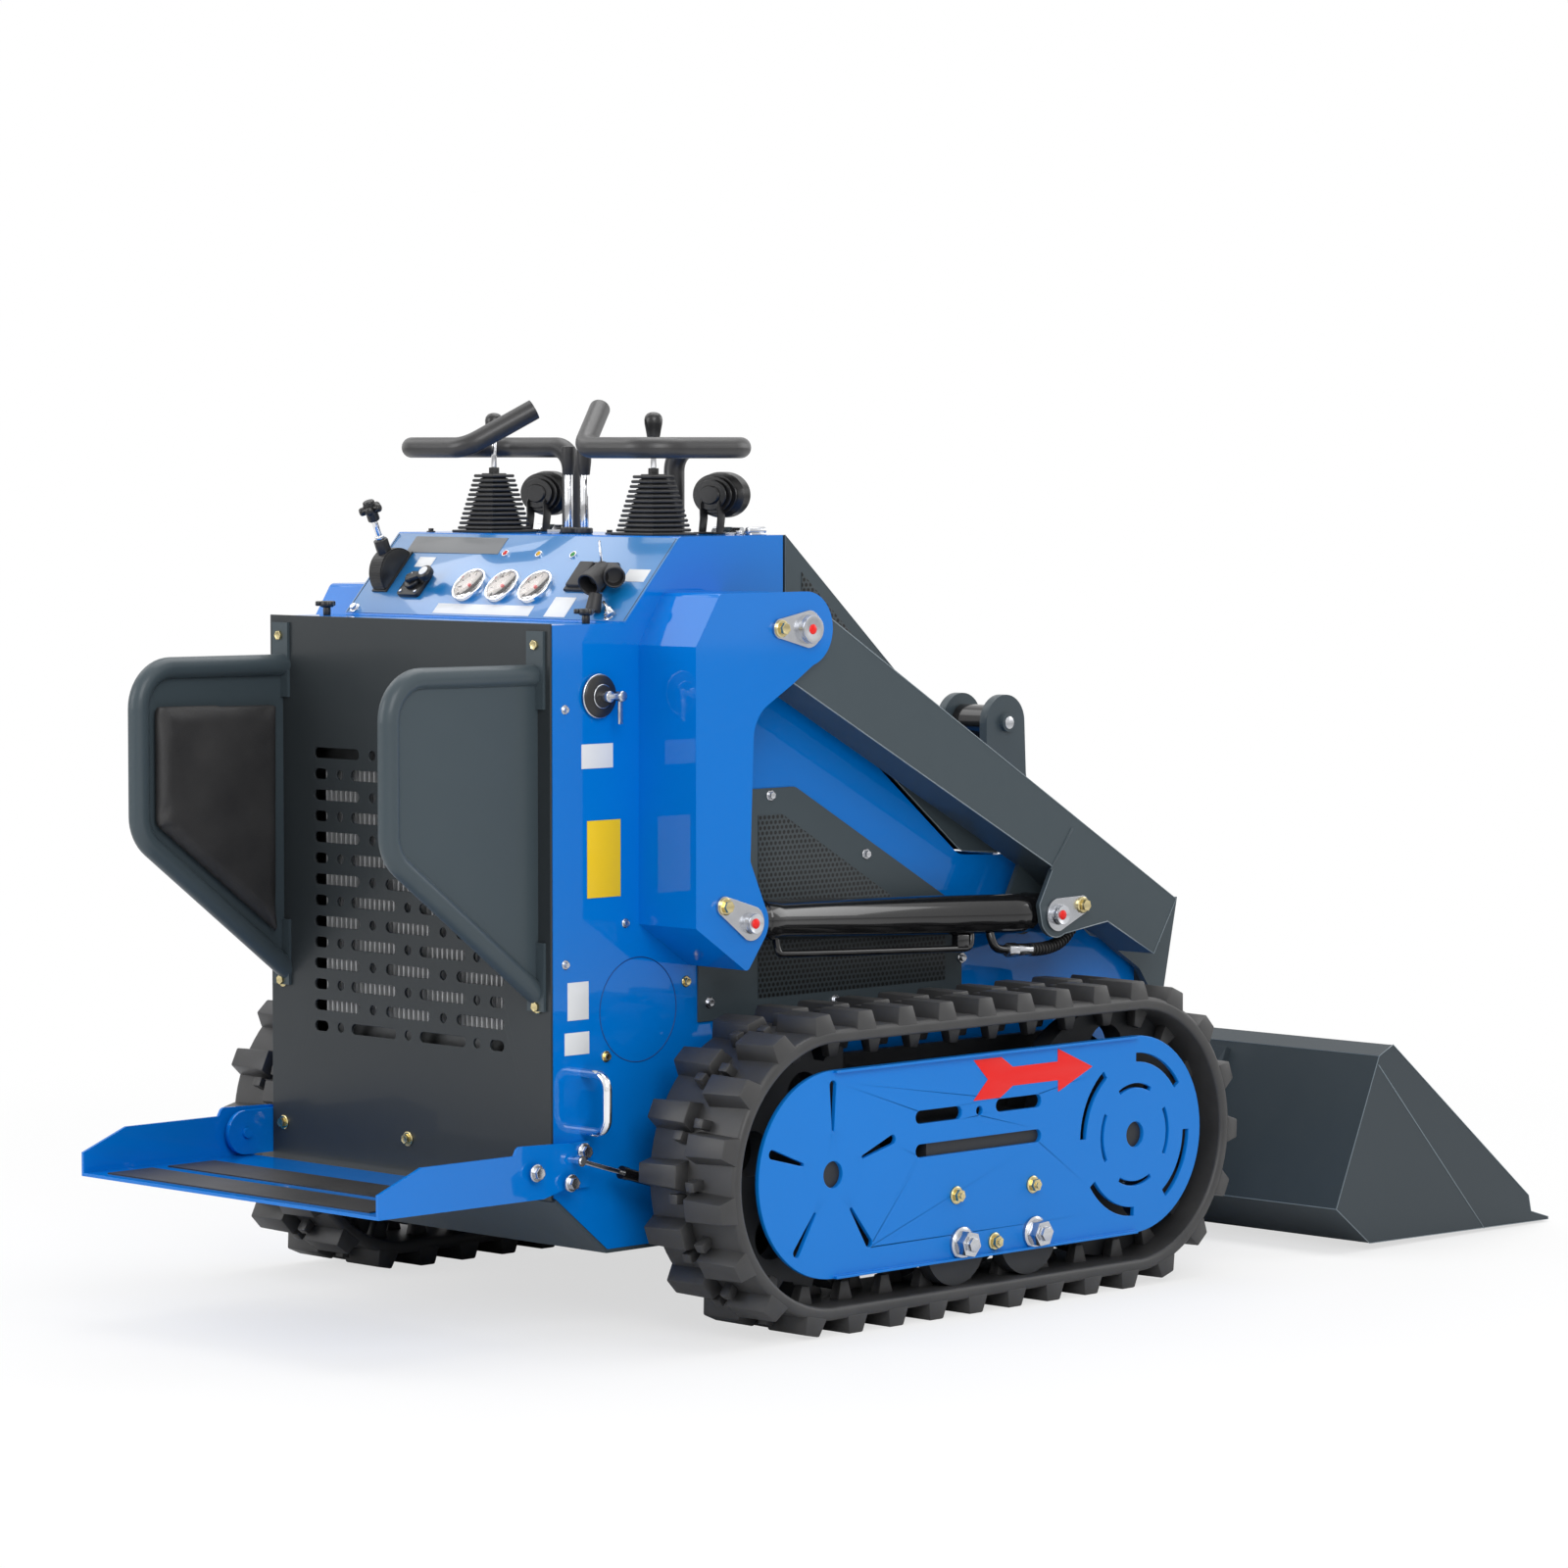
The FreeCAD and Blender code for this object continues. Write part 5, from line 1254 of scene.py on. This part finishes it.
fields = {"proud": 0.9, "screen": [(-246, 479), (166, 479), (166, 556), (84, 596), (-195, 757), (-246, 757)],
          "hood": ((-150, 26), (270, 26), (270, 84), (-150, 84)), "slope": 0.883, "crest": -185}
hoodField = [(x, deckTop - fields["slope"] * (x - fields["crest"]) - drop) for x, drop in fields["hood"]]
for name, side in bothSides:
    makeSidePlate(f"screenField_{name}", fields["screen"], side, screenFace, "punchedGrey", fields["proud"])
    makeSidePlate(f"hoodField_{name}", hoodField, side, sideFace, "punchedGrey", fields["proud"], "hood")
cover = {"x": -494, "z": 480, "radius": 78, "joint": 0.9}
# a thin darker-blue ring round each cover, painted shade in the groove between cover and body
for name, side in bothSides:
    place = spot(cover["x"], side * sideFace, cover["z"])
    joint = addRing(place, (0, side, 0), cover["radius"], cover["joint"], 72, 8)
    finished(joint, f"coverGrooveShade_{name}", "blueGrooveShade", 60)
placeSideBolts("coverBolt", -1, "screen", sideFace, [(-396, 515), (-560, 415)])
print("screens ready")


# Radiator: upright fins behind the slots of the rear panel

radiator = {"right": -222, "left": 216, "low": 440, "high": 832, "pitch": 11, "thick": 5.4, "front": -655,
            "back": -647}


def makeRadiatorFins():
    size = (radiator["back"] - radiator["front"], radiator["thick"], radiator["high"] - radiator["low"])
    fin = addBlock(size, Matrix.Identity(4))
    pickFaces(lambda centre, normal: normal.x < -0.9)
    bpy.ops.transform.resize(value=(1, 0.6, 1))
    leaveEdit()
    x, z = (radiator["front"] + radiator["back"]) / 2, (radiator["low"] + radiator["high"]) / 2
    count = int((radiator["left"] - radiator["right"]) / radiator["pitch"])
    spots = [at(x, radiator["right"] + radiator["pitch"] * (number + 0.5), z) for number in range(count)]
    finished(copied(fin, spots), "radiatorFins", "finAlloy")


makeRadiatorFins()
print("radiator ready")


# Lift cylinders: gland sleeve, oil pipes below the barrel, fittings and a ribbed hose

liftLine = {
    "eye": (312, 579), "rod": (-382, 609), "middle": 385, "gland": (44, 636), "radius": 31.5, "bore": 16.5,
    "pipe": 5.5, "bend": 7,
    # each place: run from the eye, drop below the axis, and outwards
    "long": [(588, 26, 4), (588, 50, 8), (575, 52, 10), (300, 52, 10), (190, 52, 10), (168, 52, 10),
             (160, 40, 8), (158, 26, 4)],
    "bent": [(118, 26, 6), (117, 44, 12), (108, 54, 14), (80, 56, 14), (66, 56, 14)],
    "hose": [(34, 56, 14), (5, 57, 13), (-40, 50, 8), (-70, 34, 2), (-92, 10, 0)],
    "clip": (185, 40, 8), "clipSize": (16, 22, 26), "fitting": [(86, 56, 14), (64, 56, 14), (32, 56, 14)],
}


def makeLiftPipes(name, side):
    body = f"lift_barrel_{name}"
    eye, rod = (Vector((liftLine[end][0], 0, liftLine[end][1])) for end in ("eye", "rod"))
    along = (rod - eye).normalized()
    drop = Vector((along.z, 0, -along.x))
    drop = drop if drop.z < 0 else -drop

    def place(run, low, out=0):
        flat = eye + along * run + drop * low
        return spot(flat.x, side * (liftLine["middle"] + out), flat.z)

    low, high = liftLine["gland"]
    wide, long, bore = liftLine["radius"], high - low, liftLine["bore"]
    sleeve = turnedPiece([(bore, 2), (wide - 3, 0), (wide, 3), (wide, 34), (wide - 0.6, 35.5),
                          (wide - 0.6, long - 44), (wide, long - 42.5), (wide, long - 16),
                          (wide - 2, long - 14), (wide - 2, long - 2), (wide - 4, long), (bore, long)], 56)
    finished(moved(sleeve, facing(place(low, 0), along)), f"gland_{name}", "barrelBlack", 35, body)
    pipe = addHose([place(*point) for point in liftLine["long"]], liftLine["pipe"])
    bent = addHose([place(*point) for point in liftLine["bent"]], liftLine["bend"])
    clip = addBlock(liftLine["clipSize"], facing(place(*liftLine["clip"]), along), 3, 3)
    finished(joined([pipe, bent, clip]), f"liftPipe_{name}", "barrelBlack", 50, body)
    first, middle, last = (place(*point) for point in liftLine["fitting"])
    fitting = addRod(first, middle, 12, 6, 1.5, 2)
    collar = addRod(middle, last, 10, 24, 1.5, 2)
    finished(joined([fitting, collar]), f"liftFitting_{name}", "zincPlate", 35, body)
    makeLiftHose(name, body, [place(*point) for point in liftLine["hose"]])


liftHose = {"diameter": 0.016, "rib": 1.8, "ribRadius": 9.0, "pitch": 0.0075}


def makeLiftHose(name, body, route):
    # a short ribbed hose from the fitting into the arm
    curve, hose = newLine(f"liftHose_{name}", route, 16)
    line = [point.co.copy() for point in bpy.data.meshes.new_from_object(hose).vertices]
    steps = [(second - first).length for first, second in zip(line, line[1:])]
    long = sum(steps)
    ribs = []
    for number in range(int(long / liftHose["pitch"])):
        far = liftHose["pitch"] * (number + 0.5)
        index = 0
        while far > steps[index]:
            far -= steps[index]
            index += 1
        ahead = (line[index + 1] - line[index]).normalized()
        ribs.append(addRing(line[index] + ahead * far, ahead, liftHose["ribRadius"], liftHose["rib"], 24, 8))
    rings = finished(joined(ribs), f"liftHoseRibs_{name}", "blackRubber", 60, body)
    curve.bevel_depth = liftHose["diameter"] / 2
    curve.bevel_resolution = 4
    curve.use_fill_caps = True
    curve.materials.append(finishes["blackRubber"])
    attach(hose, body)
    print("lift hose", name, round(long, 3))


for name, side in bothSides:
    makeLiftPipes(name, side)
print("cylinders ready")


# Folded and cut edges of the big sheets catch the light, so their solids get a narrow round

edgeRounds = {"arm_right": 2.0, "arm_left": 2.0, "boom_front": 1.8, "towers": 1.6, "body_shell": 2.0,
              "hood": 1.8, "bucket": 1.6, "bucket_coupler": 1.6, "platform": 1.2, "side_screens": 0.8,
              "rear_panel": 0.5, "track_guards": 1.0, "platform_brackets": 1.2, "tower_pins": 0.9,
              "arm_pins": 0.9, "belly_plate": 1.5}
for name, width in edgeRounds.items():
    weld = nodes[name].modifiers.new("weld", "WELD")
    weld.merge_threshold = 0.00002
    addBevel(nodes[name], width, 2, 32)
print("edges ready")


# Cut edges with thin light-grey beads as painted highlights, weld beads, and bolts of the platform

armFace, bucketFace = 425, 575
tiltPin = {"x": 592, "z": 858, "bush": 27, "half": 36, "ear": (64, 66.5), "end": 10.5}
armWeld = ((298, 650), (348, 713))  # drawing X and Z of the bead's ends, and so for the bucket's seam
bucketSeam = ((931, 304), (1215, 6))


def onFace(height):
    return lambda place: abs(abs(place.y) - height / 1000) < 0.0006


def addSideRod(side, out, ends, *shape):
    return addRod(*(spot(x, side * out, z) for x, z in ends), *shape)


def makeEdgeHighlight(name, source, height, wire, body):
    # follows the sharp edges of a solid that lie on its outer faces, with a thin light-grey bead: a painted
    # highlight
    keep = onFace(height)
    item = nodes[source]
    corners = [tuple(round(value, 4) for value in item.matrix_world @ point.co)
               for point in item.data.vertices]
    around = {}
    for face in item.data.polygons:
        for first, second in face.edge_keys:
            if corners[first] != corners[second]:
                edge = tuple(sorted((corners[first], corners[second])))
                around.setdefault(edge, []).append(face.normal.copy())
    lines = [edge for edge, normals in around.items()
             if len(normals) > 1 and normals[0].angle(normals[1], 0) > 0.7
             and all(keep(Vector(end)) for end in edge)]
    ends = sorted({place for line in lines for place in line})
    index = {place: number for number, place in enumerate(ends)}
    mesh = bpy.data.meshes.new(name)
    mesh.from_pydata(list(index), [(index[first], index[second]) for first, second in lines], [])
    highlightBead = linked(name, mesh)
    activate(highlightBead)
    bpy.ops.object.convert(target="CURVE")
    highlightBead = bpy.context.object
    highlightBead.data.bevel_depth = wire / 1000
    highlightBead.data.bevel_resolution = 1
    bpy.ops.object.convert(target="MESH")
    finished(bpy.context.object, name, "edgeHighlightGrey", 50, body)


for name, side in bothSides:
    makeEdgeHighlight(f"armEdgeHighlight_{name}", f"arm_{name}", armFace, 1.0, "boom")
    weld = addSideRod(side, armFace, armWeld, 2.4, 12, 0.8, 2)
    finished(weld, f"armWeld_{name}", "greyPaint", 60, "boom")
    # the seam bead takes the light edge grey, a painted highlight along the seam
    seam = addSideRod(side, bucketFace, bucketSeam, 1.0, 8, 0.3, 1)
    finished(seam, f"bucketSeam_{name}", "edgeHighlightGrey", 60, "bucket")
    low, high = (spot(tiltPin["x"], side * out, tiltPin["z"]) for out in tiltPin["ear"])
    finished(addRod(low, high, tiltPin["end"], 32, 0.8, 2), f"earPin_{name}", "zincPlate", 40, "boom")
    placeSideBolts(f"platformBolts_{name}", side, "pin", 348, [(-727, 260), (-658, 239)], "zincPlate",
                   "platform")
    placeSideBolts(f"bracketBolt_{name}", side, "pin", 326, [(-612, 279)], "zincPlate")
low, high = (spot(tiltPin["x"], side * tiltPin["half"], tiltPin["z"]) for side in (-1, 1))
finished(addRod(low, high, tiltPin["bush"], 48, 10, 5), "tiltBush", "barrelBlack", 50, "tilt_barrel")
makeEdgeHighlight("bucketEdgeHighlight", "bucket", bucketFace, 0.8, "bucket")
makeEdgeHighlight("hoodEdgeHighlight", "hood", sideFace, 0.7, "hood")
print("trims ready")
